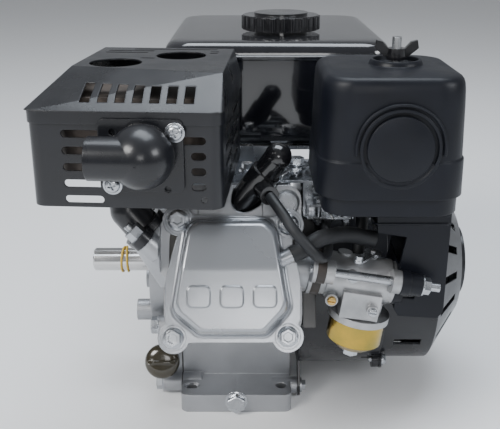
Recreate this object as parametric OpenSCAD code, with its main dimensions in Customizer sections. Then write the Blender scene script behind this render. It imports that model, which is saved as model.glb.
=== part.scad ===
// Small horizontal-shaft petrol engine, built as separate pieces in one frame.
// Origin: centre of the four base holes on the underside. X along the crankshaft
// (output end at -X), cylinder head towards -Y, Z up. Millimetres.

/* [Base and crankcase] */
// height of the crankshaft axis above the base
shaft_h = 106; // [100:0.5:115]
// crankshaft axis position front to back
crank_y = -20; // [-30:0.5:-10]
// lean of the cylinder above horizontal
tilt = 25; // [15:1:40]
// base hole spacing along the shaft
hole_sx = 75.5; // [70:0.5:80]
// base hole spacing front to back
hole_sy = 162; // [150:0.5:170]
// base hole diameter
hole_d = 9; // [8:0.5:11]
// base thickness
base_t = 16; // [10:1:20]
// crankcase half width along the shaft
case_hw = 46; // [40:1:60]
// crankcase round wall radius
case_r = 70; // [65:1:80]
// crankcase wall thickness
case_w = 6; // [4:0.5:8]

/* [Crank train] */
// cylinder bore diameter
bore_d = 68; // [60:0.5:75]
// piston stroke
stroke = 45; // [40:0.5:60]
// connecting rod length between centres
rod_l = 84; // [75:0.5:100]
// output shaft diameter
shaft_d = 20; // [18:0.05:25.4]
// output shaft end, measured from the base centre
shaft_end = 125; // [110:1:140]
// timing gear module
gear_m = 2; // [1.5:0.1:3]
// crank timing gear teeth
crank_t = 20; // [16:2:28]

/* [Head and valve cover] */
// deck height above the crankshaft axis
deck = 131.5; // [120:0.5:140]
// head height, gasket face to cover face
head_h = 35.5; // [30:0.5:45]
// valve cover height
vc_h = 29; // [20:1:40]
// valve cover offset across the cylinder
vc_s = -19; // [-30:1:0]

/* [Exhaust] */
// muffler cover width
muf_w = 118; // [90:1:130]
// muffler cover depth
muf_d = 130; // [100:1:150]
// muffler cover bottom height
muf_z = 220; // [215:1:235]
// muffler cover crease height
muf_zc = 280; // [270:1:290]
// muffler cover top height
muf_zt = 299; // [290:1:305]

/* [Fuel tank] */
// tank left side
tank_x0 = -55; // [-70:1:-40]
// tank right side
tank_x1 = 120; // [100:1:130]
// tank front
tank_y0 = -55; // [-65:1:-45]
// tank back
tank_y1 = 148; // [120:1:160]
// tank underside height
tank_z0 = 217; // [205:1:225]
// tank top height
tank_z1 = 301; // [290:1:310]
// fuel cap diameter
cap_d = 65; // [55:1:75]

/* [Air cleaner] */
// cover width
ac_w = 92; // [80:1:100]
// cover depth
ac_d = 100; // [80:1:110]
// cover top height
ac_zt = 300; // [290:1:310]
// cover bottom height
ac_zb = 225; // [215:1:235]

/* [Cooling and starter] */
// blower housing radius
blow_r = 88; // [80:1:110]
// flywheel radius
fly_r = 70; // [60:1:90]
// starter case radius
rec_r = 84; // [70:1:100]
// starter end plane
rec_x = 193; // [175:1:195]

/* [Hidden] */
$fn = 48;
e = 0.01;
cy = crank_y;
cz = shaft_h;
thr = stroke/2;
bore_r = bore_d/2;
sleeve_r = bore_r + 3.5;
pin_a = thr + rod_l;
g1 = gear_m*crank_t/2;
g2 = 2*g1;
cam_s = -46;
cam_a = -sqrt((g1 + g2)*(g1 + g2) - cam_s*cam_s);
hg = deck + 1;
ht = hg + head_h;
vf = ht + 1;
head_b = [[-37, 34], [37, 34], [-26, -36], [26, -36]];
head_z = [12, 12, head_h - 19, head_h - 19];
vc_b = [[-36.5, 39.5], [37, 36.5], [-39, -38.5], [36.5, -37.5]];
cov_b = [[-66, 11], [-85.3, 75.6], [0.2, 175.2], [-62.3, 164.2], [66, 138], [66, 12], [72, 76]];
pto_r = 46.05;
in_o = [50, -160, 158];
in_t = 9;
ac_c = [98.5, -158];

// ---- shared shapes ----
module rb(x0, x1, y0, y1, r) {
  translate([x0 + r, y0]) square([x1 - x0 - 2*r, y1 - y0]);
  translate([x0, y0 + r]) square([x1 - x0, y1 - y0 - 2*r]);
  for (x = [x0 + r, x1 - r], y = [y0 + r, y1 - r]) translate([x, y]) circle(r);
}
module xex(x0, x1) translate([x0, 0, 0]) rotate([90, 0, 90]) linear_extrude(x1 - x0) children();
module yex(y0, y1) translate([0, y1, 0]) rotate([90, 0, 0]) linear_extrude(y1 - y0) children();
module zex(z0, z1) translate([0, 0, z0]) linear_extrude(z1 - z0) children();
module xcyl(x0, x1, r, y = 0, z = 0) translate([x0, y, z]) rotate([0, 90, 0]) cylinder(r = r, h = x1 - x0);
module zcyl(z0, z1, r, x = 0, y = 0) translate([x, y, z0]) cylinder(r = r, h = z1 - z0);
module box(x0, x1, y0, y1, z0, z1) translate([x0, y0, z0]) cube([x1 - x0, y1 - y0, z1 - z0]);
module crank() translate([0, cy, cz]) children();
module cyl() crank() rotate([90 - tilt, 0, 0]) children();
module intake() translate(in_o) rotate([0, in_t, 0]) children();
module hex(af, h) cylinder(d = af/cos(30), h = h, $fn = 6);
module flange_hex(af, h, fr) { hex(af, h); cylinder(r = fr, h = 1.8); }
// cylinder between two points
module rod(p, q, r, n = 48) {
  d = q - p;
  l = norm(d);
  translate(p) rotate([0, acos(d[2]/l), atan2(d[1], d[0])]) cylinder(r = r, h = l, $fn = n);
}
// round-cornered tube run
module run(pts, r, n = 48) {
  for (i = [0:len(pts) - 2]) rod(pts[i], pts[i + 1], r, n);
  for (i = [1:len(pts) - 2]) translate(pts[i]) sphere(r + 0.07, $fn = n);
}

// ---- crankcase ----
module case2d(o = 0, z0 = 0) {
  translate([cy, cz]) circle(case_r + o);
  rb(-62 - o, 70 + o, z0, 150 + o, 12);
}
module crankcase() color([0.78, 0.79, 0.81]) difference() {
  union() {
    difference() {
      union() {
        xex(-case_hw, case_hw) case2d();
        zex(0, base_t) rb(-case_hw, case_hw, -96, 96, 6);
        for (b = cov_b) xcyl(-case_hw, -case_hw + 16, 8, b[0], b[1]);
        // barrel and its fins
        cyl() {
          zcyl(55, deck, sleeve_r + 5);
          for (i = [0:5]) zex(78 + 8*i, 80.6 + 8*i) rb(-48, 48, -56, 48, 12);
          zex(deck - 5, deck) rb(-48, 48, -56, 48, 10);
          for (b = head_b) zcyl(78, deck, 8.5, b[0], b[1]);
          zex(40, deck) rb(-22, 22, -56, -36, 5);
        }
      }
      difference() {
        xex(-case_hw - e, case_hw - case_w) case2d(-case_w, 5);
        // lifter guide
        cyl() zex(12, 60) rb(-22, 22, -55, -40.5, 4);
      }
      cyl() zcyl(40, deck + e, sleeve_r);
    }
    // bearing and camshaft bosses on the inner wall
    crank() xcyl(28, case_hw + 4, 33);
    cyl() xcyl(29, case_hw - 1, 13, cam_s, cam_a);
    // blower bracket bosses
    for (b = [[-70, 10], [-60, 164], [66, 40], [46, 142]]) xcyl(30, case_hw + 6, 7, b[0], b[1]);
  }
  crank() { xcyl(27, 44, 26); xcyl(43, 51, 17.5); xcyl(-case_hw, 60, 14); }
  cyl() xcyl(28, 42, 8.06, cam_s, cam_a);
  for (x = [-1, 1], y = [-1, 1]) zcyl(-e, base_t + 1, hole_d/2, x*hole_sx/2, y*hole_sy/2);
  // shallow recess beside the front left hole
  translate([0, 0, base_t - 1.5]) linear_extrude(2) rb(-hole_sx/2 - 7, -hole_sx/2 + 7, -hole_sy/2 - 4.5, -hole_sy/2 + 4.5, 4.4);
  for (b = cov_b) xcyl(-case_hw - e, -case_hw + 15, 4.05, b[0], b[1]);
  for (b = [[-70, 10], [-60, 164], [66, 40], [46, 142]]) xcyl(34, 60, 3.05, b[0], b[1]);
  // drain
  translate([0, -50, 10.5]) rotate([90, 0, 0]) cylinder(r = 5.05, h = 50);
  cyl() {
    for (b = head_b) zcyl(95, deck + e, 4.05, b[0], b[1]);
    for (x = [-13, 13]) { zcyl(0, 62, 5.05, x, cam_s); zcyl(60, deck + e, 4.6, x, cam_s); }
  }
  // inside face must clear the cam lobes
  cyl() xcyl(-20, 20, 19, cam_s, cam_a);
}
module cylinder_sleeve() color([0.36, 0.36, 0.37]) cyl() difference() {
  zcyl(58, deck, sleeve_r - 0.02);
  zcyl(57, deck + 1, bore_r);
}
module gaskets() { cover_gasket(); head_gasket(); valve_cover_gasket(); }
module cover_gasket() color([0.25, 0.25, 0.24]) difference() {
  xex(-case_hw - 1, -case_hw) { case2d(); for (b = cov_b) translate(b) circle(8); }
  xex(-case_hw - 2, -case_hw + 1) { case2d(-case_w, 5); for (b = cov_b) translate(b) circle(4.2); }
}
dip_t = 22;
dip_o = [-62, -70, 34.5];
dip_y = dip_o[1] + 22*cos(dip_t);
dip_z = dip_o[2] - 22*sin(dip_t);
module dipf() translate(dip_o) rotate([90 - dip_t, 0, 0]) children();
module crankcase_cover() color([0.8, 0.81, 0.83]) difference() {
  union() {
    xex(-54, -case_hw - 1) { case2d(); for (b = cov_b) translate(b) circle(8); }
    for (b = cov_b) xcyl(-62, -case_hw - 1, 8, b[0], b[1]);
    crank() {
      xcyl(-66, -44, 34);
      for (s = [[-1, -1], [-1, 1], [1, 1], [1, -1]]) xcyl(-84, -50, 9, s[0]*pto_r*sqrt(0.5), s[1]*pto_r*sqrt(0.5));
      difference() { xcyl(-70, -50, 60); xcyl(-71, -53, 53); }
      for (a = [45, 135, 225, 315]) rotate([a, 0, 0]) box(-66, -50, 30, 57, -2.5, 2.5);
    }
    cyl() xcyl(-53.5, -42, 13, cam_s, cam_a);
    // oil filler neck
    dipf() zcyl(-24, 6, 11.5);
    xcyl(-61, -50, 10.6, dip_y, dip_z);
  }
  crank() { xcyl(-59, -43, 26); xcyl(-67, -58, 17.5);
    for (s = [[-1, -1], [-1, 1], [1, 1], [1, -1]]) xcyl(-85, -60, 3.4, s[0]*pto_r*sqrt(0.5), s[1]*pto_r*sqrt(0.5)); }
  cyl() xcyl(-52, -41, 8.06, cam_s, cam_a);
  for (b = cov_b) xcyl(-63, -case_hw, 4.05, b[0], b[1]);
  dipf() zcyl(-22, 7, 8.5);
  xcyl(-61, -43, 7.2, dip_y, dip_z);
}
module cover_bolts() color([0.75, 0.76, 0.78]) for (b = cov_b) translate([-62, b[0], b[1]]) {
  rotate([0, 90, 0]) cylinder(r = 4, h = 28);
  rotate([0, -90, 0]) flange_hex(12, 7, 8.2);
}
module crank_bearings() color([0.7, 0.71, 0.73]) crank() for (x = [-59, 29]) difference() {
  xcyl(x, x + 15, 25.98);
  xcyl(x - 1, x + 16, 12.55);
  for (s = [x - e, x + 13]) difference() { xcyl(s, s + 2 + e, 22); xcyl(s - 1, s + 4, 17); }
}
module oil_seals() color([0.12, 0.12, 0.13]) crank() for (x = [-66, 45]) difference() {
  xcyl(x, x + 5, 17.48);
  xcyl(x - 1, x + 6, x < 0 ? 12.55 : 12.55);
}
module drain_bolt() color([0.74, 0.75, 0.78]) translate([0, -96, 10.5]) {
  rotate([90, 0, 0]) { hex(14, 7); cylinder(r = 9.5, h = 1.6); }
  rotate([-90, 0, 0]) cylinder(r = 5, h = 14);
}

// ---- head ----
module vc2d(o = 0) {
  translate([-0.5, vc_s + 1]) rb2(84 + 2*o, 82 + 2*o, 16 + o);
  for (b = vc_b) translate([b[0], b[1] + vc_s]) circle(10.5 + o);
}
module rb2(w, h, r) rb(-w/2, w/2, -h/2, h/2, r);
module head_gasket() color([0.3, 0.3, 0.31]) cyl() difference() {
  zex(deck, hg) rb(-48, 48, -56, 48, 10);
  zcyl(deck - 1, hg + 1, bore_r + 1);
  for (b = head_b) zcyl(deck - 1, hg + 1, 4.3, b[0], b[1]);
  for (x = [-13, 13]) zcyl(deck - 1, hg + 1, 4.8, x, cam_s);
}
ex_o = [-46, -160, 175];
module exf() translate(ex_o) rotate([0, -45, 0]) children();
plug_p = [-11, 14, hg - 0.5];
module plugf() cyl() translate(plug_p) rotate([-51, 0, 0]) rotate([0, 33, 0]) children();
module cylinder_head() color([0.8, 0.81, 0.83]) difference() {
  union() {
    cyl() {
      zex(hg, hg + 8) rb(-48, 48, -56, 48, 10);
      zex(hg + 7, ht - 6) rb(-38, 38, -57, 22, 8);
      zex(ht - 8, ht) vc2d();
      for (i = [0:2]) zex(hg + 11 + 6*i, hg + 13.2 + 6*i) rb(-47, 47, -52, 46, 10);
      for (b = head_b) zcyl(hg, hg + 12, 8, b[0], b[1]);
      zex(hg, hg + 26) rb(-24, 20, 10, 44, 8);
    }
    // ports and plug boss
    intake() { xcyl(-22, 3.4, 15); in_flange(1.3, 4, 8.5, 16); }
    intersection() {
      exf() { translate([0, 0, -16]) cylinder(r1 = 23, r2 = 15, h = 32); for (s = [-1, 1]) zcyl(4, 16, 7.5, 0, s*19); zex(4, 16) rb(-7.5, 7.5, -19, 19, 2); }
      union() {
        cyl() zex(hg + 0.4, ht - 0.4) square([200, 200], center = true);
        intersection() { cyl() zex(hg + 0.4, hg + 90) square([200, 200], center = true); box(-120, -48.6, -260, -90, 90, 260); }
      }
    }
    intersection() { plugf() zcyl(8, 24, 14); cyl() zex(hg + 0.4, hg + 60) square([200, 200], center = true); }
  }
  cyl() {
    zcyl(hg - 1, hg + 6, 26);
    // rocker chamber and pushrod passages
    zex(ht - 19, ht + e) rb(-35, 35, -54 , 18, 8);
    for (x = [-13, 13]) zcyl(hg - 1, ht, 4.6, x, cam_s);
    for (i = [0:3]) { b = head_b[i]; zcyl(hg - 1, hg + head_z[i] + 1, 4.05, b[0], b[1]); zcyl(hg + head_z[i], i < 2 ? ht + 10 : ht - 10, 8.6, b[0], b[1]); }
    for (b = vc_b) zcyl(ht - 12, ht + 1, 3.05, b[0], b[1] + vc_s);
    for (x = [-16, 16]) zcyl(hg, ht - 10, 3.05, x, -2);
    for (x = [-16, 16]) zcyl(ht - 27, ht - 18, 2.55, x, -24);
  }
  intake() { xcyl(-30, 5, 11); for (s = [-1, 1]) stud_at(s) xcyl(-1, 5, 3.05); }
  exf() { zcyl(-28, 17, 9); for (s = [-1, 1]) zcyl(5, 17, 3.05, 0, s*19); }
  plugf() { zcyl(-3, 25, 7.03); zcyl(18, 80, 12.3); }
}
module head_bolts() color([0.72, 0.73, 0.75]) cyl() for (i = [0:3]) translate([head_b[i][0], head_b[i][1], hg + head_z[i]]) {
  flange_hex(12, 7, 8);
  translate([0, 0, -48]) cylinder(r = 4, h = 48);
}
module valves() color([0.55, 0.56, 0.58]) cyl() for (x = [-16, 16]) {
  zcyl(hg + 1, ht - 4, 3, x, -2);
  zcyl(hg, hg + 2.5, 9.5, x, -2);
  difference() { zcyl(ht - 18.8, ht - 6, 9, x, -2); zcyl(ht - 19, ht - 7.5, 5, x, -2); for (i = [0:3]) difference() { zcyl(ht - 17.4 + 2.8*i, ht - 16 + 2.8*i, 10, x, -2); zcyl(ht - 18 + 2.8*i, ht - 15 + 2.8*i, 7.6, x, -2); } }
}
module rocker_arms() color([0.5, 0.5, 0.5]) cyl() for (x = [-16, 16]) {
  zex(ht - 3.9, ht + 1.5) difference() { hull() { translate([x, -2]) circle(5); translate([x, -24]) circle(7); translate([x > 0 ? 13 : -13, cam_s]) circle(5); } translate([x, -24]) circle(2.6); }
  zcyl(ht - 26, ht + 8, 2.5, x, -24);
  translate([x, -24, ht + 1.5]) hex(9, 5);
}
module pushrods() color([0.55, 0.55, 0.56]) cyl() for (x = [-13, 13]) {
  zcyl(cam_a + 17.4, cam_a + 20.4, 9, x, cam_s);
  zcyl(cam_a + 20.4, 30, 5, x, cam_s);
  zcyl(30, ht - 4, 3, x, cam_s);
}
module valve_cover_gasket() color([0.2, 0.2, 0.2]) cyl() difference() {
  zex(ht, vf) vc2d();
  zex(ht - 1, vf + 1) rb(-35, 35, -54, 18, 8);
  for (b = vc_b) zcyl(ht - 1, vf + 1, 3.3, b[0], b[1] + vc_s);
}
// dome outline of the valve cover
module dome2d(o = 0) polygon([[-30 - o, 17 + o*0.8], [-24 - o*0.4, 22 + o], [22 + o*0.4, 22 + o], [29 + o, 15 + o*0.8],
  [37.5 + o, -36], [35 + o, -41 - o*0.6], [22 + o*0.3, -55 - o], [-21 - o*0.3, -55 - o], [-36 - o, -43 - o*0.6], [-39 - o, -37]]);
module valve_cover() color([0.83, 0.84, 0.86]) cyl() difference() {
  union() {
    zex(vf, vf + 3) vc2d();
    hull() { zex(vf + 2.9, vf + 3) dome2d(0.5); zex(vf + 12, vf + 12.1) dome2d(-1.5); }
    hull() { zex(vf + 12, vf + 12.1) dome2d(-1.5); zex(vf + 22, vf + 22.1) dome2d(-4.5); }
    hull() { zex(vf + 22, vf + 22.1) dome2d(-4.5); zex(vf + 26.9, vf + 27) dome2d(-9.5); }
    // plain raised pads on the face
    for (x = [-21, 0, 21]) zex(vf + 26, vf + vc_h - 0.5) rb(x - 7.5, x + 7.5, -36, -23, 3.5);
    // breather stub
    translate([26, -9, vf + 12]) rotate([0, 0, 25]) rotate([0, 90, 0]) cylinder(r = 5, h = 24);
  }
  hull() { zex(vf - 1, vf + 3) dome2d(-2); zex(vf + 12, vf + 12.1) dome2d(-3.6); }
  hull() { zex(vf + 12, vf + 12.1) dome2d(-3.6); zex(vf + 20.5, vf + 20.6) dome2d(-6.4); }
  hull() { zex(vf + 20.5, vf + 20.6) dome2d(-6.4); zex(vf + 24.9, vf + 25) dome2d(-11); }
  for (b = vc_b) zcyl(vf - 1, vf + 4, 3.05, b[0], b[1] + vc_s);
  translate([26, -9, vf + 12]) rotate([0, 0, 25]) rotate([0, 90, 0]) cylinder(r = 3.4, h = 40);
}
module valve_cover_bolts() color([0.75, 0.76, 0.78]) cyl() for (b = vc_b) translate([b[0], b[1] + vc_s, vf + 3]) {
  flange_hex(10, 6, 7);
  translate([0, 0, -14]) cylinder(r = 3, h = 14);
}
module spark_plug() color([0.85, 0.85, 0.83]) plugf() {
  zcyl(9.8, 18.2, 7);
  zcyl(6.5, 10, 2.2);
  translate([0, 0, 18.2]) hex(20.6, 12);
  zcyl(30, 34, 8);
  zcyl(34, 56, 5);
}
module plug_cap() color([0.05, 0.05, 0.055]) {
  difference() { rod(lead_a - [6.6, -19, -0.5], lead_a, 6.5); plugf() zcyl(20, 100, 9); }
  plugf() difference() {
  union() {
    zcyl(31, 62, 10.5);
    zcyl(61, 76, 9);
    translate([0, 0, 76]) sphere(9.3);
  }
  zcyl(30, 34.2, 8.05);
  zcyl(33, 56.2, 5.05);
  }
}

// ---- exhaust ----
module muf() translate([-59, -143, 0]) rotate([0, 0, -4]) children();
pipe_a = ex_o + [-15, 0, 15];
pipe_p = [pipe_a, [-70.5, -158, 201], [-72, -155, 212], [-72, -150, 234]];
module exhaust_pipe() color([0.1, 0.1, 0.11]) difference() {
  union() {
    exf() zex(16, 22) { circle(16); for (s = [-1, 1]) translate([0, s*19]) circle(8); rb(-8, 8, -19, 19, 2); }
    run(pipe_p, 12.5);
  }
  exf() for (s = [-1, 1]) zcyl(15, 23, 3.2, 0, s*19);
  run([ex_o + [-8, 0, 8], [-70.5, -158, 201], [-72, -155, 212], [-72, -149, 238]], 10.5);
}
module exhaust_nuts() color([0.72, 0.74, 0.77]) exf() for (s = [-1, 1]) translate([0, s*19, 0]) {
  zcyl(6, 33, 3);
  translate([0, 0, 22]) hex(11, 7);
}
module muffler_body() color([0.28, 0.27, 0.27]) difference() {
  union() {
    muf() zex(233.5, 284) rb(-48, 46, -46, 52, 14);
    muf() yex(-62.7, -45) translate([12, 255]) circle(12.5);
  }
  muf() zex(235, 282.5) rb(-46.5, 44.5, -44.5, 50.5, 12.5);
  muf() yex(-63, -44) translate([12, 255]) circle(11);
  rod(pipe_p[2], pipe_p[3] + 2*(pipe_p[3] - pipe_p[2]), 12.6);
}
module mtop(z, d) hull() {
  muf() zex(muf_zc - 0.01, muf_zc) rb(-60 + d, 60 - d, -65 + d, 67 - d, 4);
  muf() zex(z - 0.01, z) polygon([[-41 + d, -20 + d], [57 - d, -39 + d], [55 - d, 59 - d], [-39 + d, 61 - d]]);
}
module shroud_upper() color([0.07, 0.07, 0.08]) difference() {
  union() {
    muf() zex(muf_zc - 8, muf_zc) rb(-60, 60, -65, 67, 9);
    mtop(muf_zt, 0);
  }
  muf() zex(muf_zc - 9, muf_zc + e) rb(-59.02, 59.02, -64.02, 66.02, 8);
  mtop(muf_zt - 1.2, 1.2);
  muf() {
    for (x = [-23.7, -13, -2.6, 7.9, 18.2, 28.4, 38.8]) box(x - 3, x + 3, -64, -20, muf_zc + 4, muf_zc + 12);
    zcyl(290, 305, 17, -16, -6);
    zcyl(290, 305, 17, 22, 26);
    for (b = [[-33, -3, 36], [-33, 0, 44], [-16, 44, 52], [-4, 6, 12], [40, 46, 42], [40, 46, 35]]) zex(290, 305) rb(b[0], b[1], b[2], b[2] + 3, 1.4);
  }
}
module slot_x(x0, x1, z, h = 2.4) zex(0, 10) rb(x0, x1, z - h, z + h, h - 0.01);
module shroud_lower() color([0.07, 0.07, 0.08]) muf() difference() {
  zex(muf_z, muf_zc - 0.5) rb(-59, 59, -64, 66, 8);
  zex(muf_z - 1, muf_zc) rb(-57.8, 57.8, -62.8, 64.8, 6.8);
  yex(-70, -60) {
    for (i = [0:3]) rb(-38, -12, 263.6 - 10.3*i, 268.4 - 10.3*i, 2.39);
    rb(-38, -14, 222.6, 227.4, 2.39);
    rb(34, 49, 260.4, 265.2, 2.39);
    for (i = [1:3]) rb(40, 49, 260.4 - 9.5*i, 265.2 - 9.5*i, 2.39);
    translate([47.5, 226]) circle(1.8);
    translate([12, 255]) circle(11);
    for (p = [[31.2, 268.5], [-7.6, 235.5]]) translate(p) circle(2.05);
  }
  yex(60, 70) for (i = [0:3], x = [-40, 6]) rb(x, x + 34, 230 + 10.3*i, 234.8 + 10.3*i, 2.39);
  for (x = [-62, 54]) xex(x, x + 8) for (i = [0:3], y = [-44, 6]) rb(y, y + 38, 230 + 10.3*i, 234.8 + 10.3*i, 2.39);
}
module ydome(r, d) translate([12, -73.6, 255]) rotate([90, 0, 0]) rotate_extrude() intersection() { circle(r); translate([0, -d]) square([r, r + d]); }
module exhaust_deflector() color([0.08, 0.08, 0.09]) muf() difference() {
  union() {
    yex(-66.6, -65.1) rb(-15, 36, 231, 276, 4);
    ydome(19.4, 8);
    xcyl(-18, 12, 13, -79.8, 255.5);
  }
  ydome(17.8, 7.5);
  yex(-73.6, -60) translate([12, 255]) circle(14);
  xcyl(-20, 12, 11.5, -79.8, 255.5);
  for (p = [[31.2, 268.5], [-7.6, 235.5], [-6.2, 268], [25.9, 233.3]]) yex(-70, -60) translate(p) circle(2.05);
}
module deflector_screws() color([0.7, 0.73, 0.76]) muf() for (p = [[31.2, 268.5], [-7.6, 235.5]]) {
  yex(-66.6, -62) translate(p) circle(2);
  translate([p[0], -66.6, p[1]]) rotate([90, 0, 0]) { cylinder(r = 4.4, h = 2.2); zcyl(0, 3.2, 3.1); }
}

// ---- fuel ----
cap_c = [37, 10];
module tank2d(o = 0) rb(tank_x0 - o, tank_x1 + o, tank_y0 - o, tank_y1 + o, 24 + o);
module fuel_tank() color([0.035, 0.035, 0.04]) difference() {
  union() {
    zex(tank_z0 + 5, tank_z1 - 9) tank2d();
    hull() { zex(tank_z0, tank_z0 + 0.1) tank2d(-6); zex(tank_z0 + 6, tank_z0 + 6.1) tank2d(-0.3); }
    zex(tank_z1 - 12, tank_z1 - 9) tank2d(2.4);
    hull() { zex(tank_z1 - 9.1, tank_z1 - 9) tank2d(0); zex(tank_z1 - 4, tank_z1 - 3.9) tank2d(-3); zex(tank_z1 - 0.1, tank_z1) tank2d(-10); }
    zcyl(tank_z1 - 2, tank_z1 + 7, 21.5, cap_c[0], cap_c[1]);
    zcyl(tank_z0 - 9, tank_z0 + 2, 4, 96, -30);
  }
  zex(tank_z0 + 5.5, tank_z1 - 8) tank2d(-1.5);
  hull() { zex(tank_z0 + 1.5, tank_z0 + 1.6) tank2d(-7.5); zex(tank_z0 + 6, tank_z0 + 6.1) tank2d(-1.8); }
  hull() { zex(tank_z1 - 9.1, tank_z1 - 9) tank2d(-1.5); zex(tank_z1 - 5, tank_z1 - 4.9) tank2d(-4.5); zex(tank_z1 - 1.6, tank_z1 - 1.5) tank2d(-11.5); }
  zcyl(tank_z1 - 6, tank_z1 + 8, 20, cap_c[0], cap_c[1]);
  zcyl(tank_z0 - 10, tank_z0 + 4, 2.5, 96, -30);
}
module fuel_cap() color([0.05, 0.05, 0.055]) translate([cap_c[0], cap_c[1], 0]) difference() {
  union() {
    zcyl(tank_z1 + 0.3, tank_z1 + 12, cap_d/2 - 1.6);
    for (i = [0:23]) rotate(i*15) translate([cap_d/2 - 3, 0, 0]) zcyl(tank_z1 + 0.8, tank_z1 + 11.4, 3);
    zcyl(tank_z1 + 11.9, tank_z1 + 14, 22);
  }
  zcyl(tank_z1 - 1, tank_z1 + 8, 22);
}
module tank_bracket() color([0.55, 0.56, 0.58]) difference() {
  union() {
    zex(tank_z0 - 3, tank_z0) rb(-50, 112, -50, 120, 8);
    box(-44, -38, 42, 66, 150, tank_z0 - 2);
    box(38, 44, 42, 66, 150, tank_z0 - 2);
    box(-46, 44, -50, -47, 186, tank_z0 - 2);
    box(-46, 44, -47, -44, 196, 200);
  }
  zcyl(200, 220, 6, 96, -30);
  box(-32, 32, -30, 95, tank_z0 - 4, tank_z0 + 1);
  box(52, 84, -5, 95, tank_z0 - 4, tank_z0 + 1);
}
hose_p = [[96, -30, tank_z0 - 8.5], [96, -34, 203], [95, -50, 197], [94, -104, 190], [93, -122, 177], [90, -132, 162], [88, -139, 155]];
module fuel_hose() color([0.06, 0.06, 0.06]) difference() {
  run(hose_p, 4.4, 12);
  zcyl(200, tank_z0 + 3, 4.02, 96, -30);
  intake() xcyl(0, 70, 17);
}

// ---- intake ----
module stud_at(s) rotate([-tilt, 0, 0]) translate([0, s*23, 0]) children();
module in_flange(x0, x1, r, w) xex(x0, x1) rotate(-tilt) { circle(w); for (s = [-1, 1]) translate([s*23, 0]) circle(r); square([46, 2*r - 2], center = true); }
module insulator() color([0.09, 0.08, 0.08]) intake() difference() {
  in_flange(4, 10, 8.5, 16);
  xcyl(3, 11, 11);
  for (s = [-1, 1]) stud_at(s) xcyl(3, 11, 3.2);
}
bowl_u = 43;
module carburetor_body() color([0.74, 0.75, 0.76]) intake() difference() {
  union() {
    in_flange(10, 16, 8, 15);
    in_flange(55, 61, 8, 15);
    xcyl(14, 58, 16);
    zcyl(-25, 4, 15, bowl_u, 0);
    box(26, 52.5, -19, 17, -23, -4);
    zcyl(-29, -24, 21.5, bowl_u, 0);
    // pilot and choke shaft bosses
    zcyl(6, 17.2, 5, 25, 2);
    zcyl(6, 17.4, 4.2, 44, 2);
    zcyl(17, 20.6, 1.93, 44, 2);
    translate([30, 0, 6]) rotate([90, 0, 0]) cylinder(r = 4.5, h = 17.2);
    translate([47, 0, -14]) rotate([90, 0, 0]) cylinder(r = 4, h = 23);
    translate([19, 0, -12]) rotate([90, 0, 0]) cylinder(r = 4.4, h = 18);
    translate([40, 0, -18.2]) rotate([-90, 0, 0]) cylinder(r = 3.8, h = 24.7);
    translate([40, 0, -18.2]) rotate([-90, 0, 0]) cylinder(r = 1.93, h = 28.4);
  }
  difference() { xcyl(9, 62, 11); zcyl(-20, 2, 3.2, bowl_u, 0); }
  for (s = [-1, 1]) stud_at(s) xcyl(9, 62, 3.2);
  zcyl(-40, -26, 17, bowl_u, 0);
  zcyl(-30, -12, 2.5, bowl_u, 0);
}
module float_bowl() color([0.74, 0.66, 0.38]) intake() difference() {
  union() {
    zcyl(-46, -29, 19.5, bowl_u, 0);
    translate([bowl_u, 0, -51.5]) cylinder(r1 = 13, r2 = 19.5, h = 5.5);
    zcyl(-53, -51, 9, bowl_u, 0);
  }
  zcyl(-45.5, -28, 18.5, bowl_u, 0);
  translate([bowl_u, 0, -50.4]) cylinder(r1 = 12.2, r2 = 18.5, h = 5);
  zcyl(-56, -46, 3.1, bowl_u, 0);
}
module bowl_bolt() color([0.7, 0.72, 0.74]) intake() translate([bowl_u, 0, 0]) {
  translate([0, 0, -59.5]) hex(10, 5.5);
  zcyl(-54.2, -53, 6.5);
  zcyl(-54.1, -14, 2.45);
  zcyl(-52.9, -26, 3.05);
}
module intake_studs() color([0.78, 0.79, 0.82]) intake() for (s = [-1, 1]) stud_at(s) {
  xcyl(0, 88, 3);
  translate([75.2, 0, 0]) rotate([0, 90, 0]) { hex(10, 6); cylinder(r = 7, h = 1.4); }
}
ac_s = [105, -152];
module duct2d(o = 0) polygon([[95 + o, 214.5 + o], [95.4 + o, 206], [97 + o, 188], [101 + o, 175], [106 + o, 168.5], [111.4 + o, 164.5], [111 + o, 133 + o], [114 + o*0.6, 128 + o], [141 - o*0.6, 126 + o], [145 - o, 131 + o], [145 - o, 214.5 + o]]);
module air_duct() color([0.045, 0.055, 0.075]) difference() {
  union() {
    zex(213.5, ac_zb - 0.3) rb(57, 142, -205, -111, 18);
    zex(ac_zb - 0.4, ac_zb + 6) rb(62, 137, -200, -116, 14);
    yex(-171, -129) duct2d();
    intake() { in_flange(60, 67, 8.5, 15); for (s = [-1, 1]) stud_at(s) xcyl(60.4, 77, 7.8); }
    // ribs under the tray
    for (z = [207, 201, 195]) zex(z, z + 1.6) rb(94.2, 145.8, -171.8, -128.2, 4);
    xcyl(90, 100, 7, -160, 181);
  }
  yex(-168, -132) duct2d(3);
  zex(ac_zb, ac_zb + 8) rb(65, 134, -197, -119, 11);
  zex(209, ac_zb + 1) rb(98.7, 141.3, -167.3, -132.7, 5);
  zex(216.5, ac_zb + 1) rb(65, 134, -197, -119, 11);
  intake() { xcyl(58, 76, 12); for (s = [-1, 1]) stud_at(s) { xcyl(55, 100, 3.2); xcyl(75.2, 92, 9.4); } xcyl(30, 61, 40); }
  xcyl(88, 104, 5.2, -160, 181);
}
module air_stud() color([0.7, 0.71, 0.73]) {
  zcyl(200, 316, 3, ac_s[0], ac_s[1]);
  box(ac_s[0] - 3, ac_s[0] + 3, -168, -132, 196, 202);
}
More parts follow.
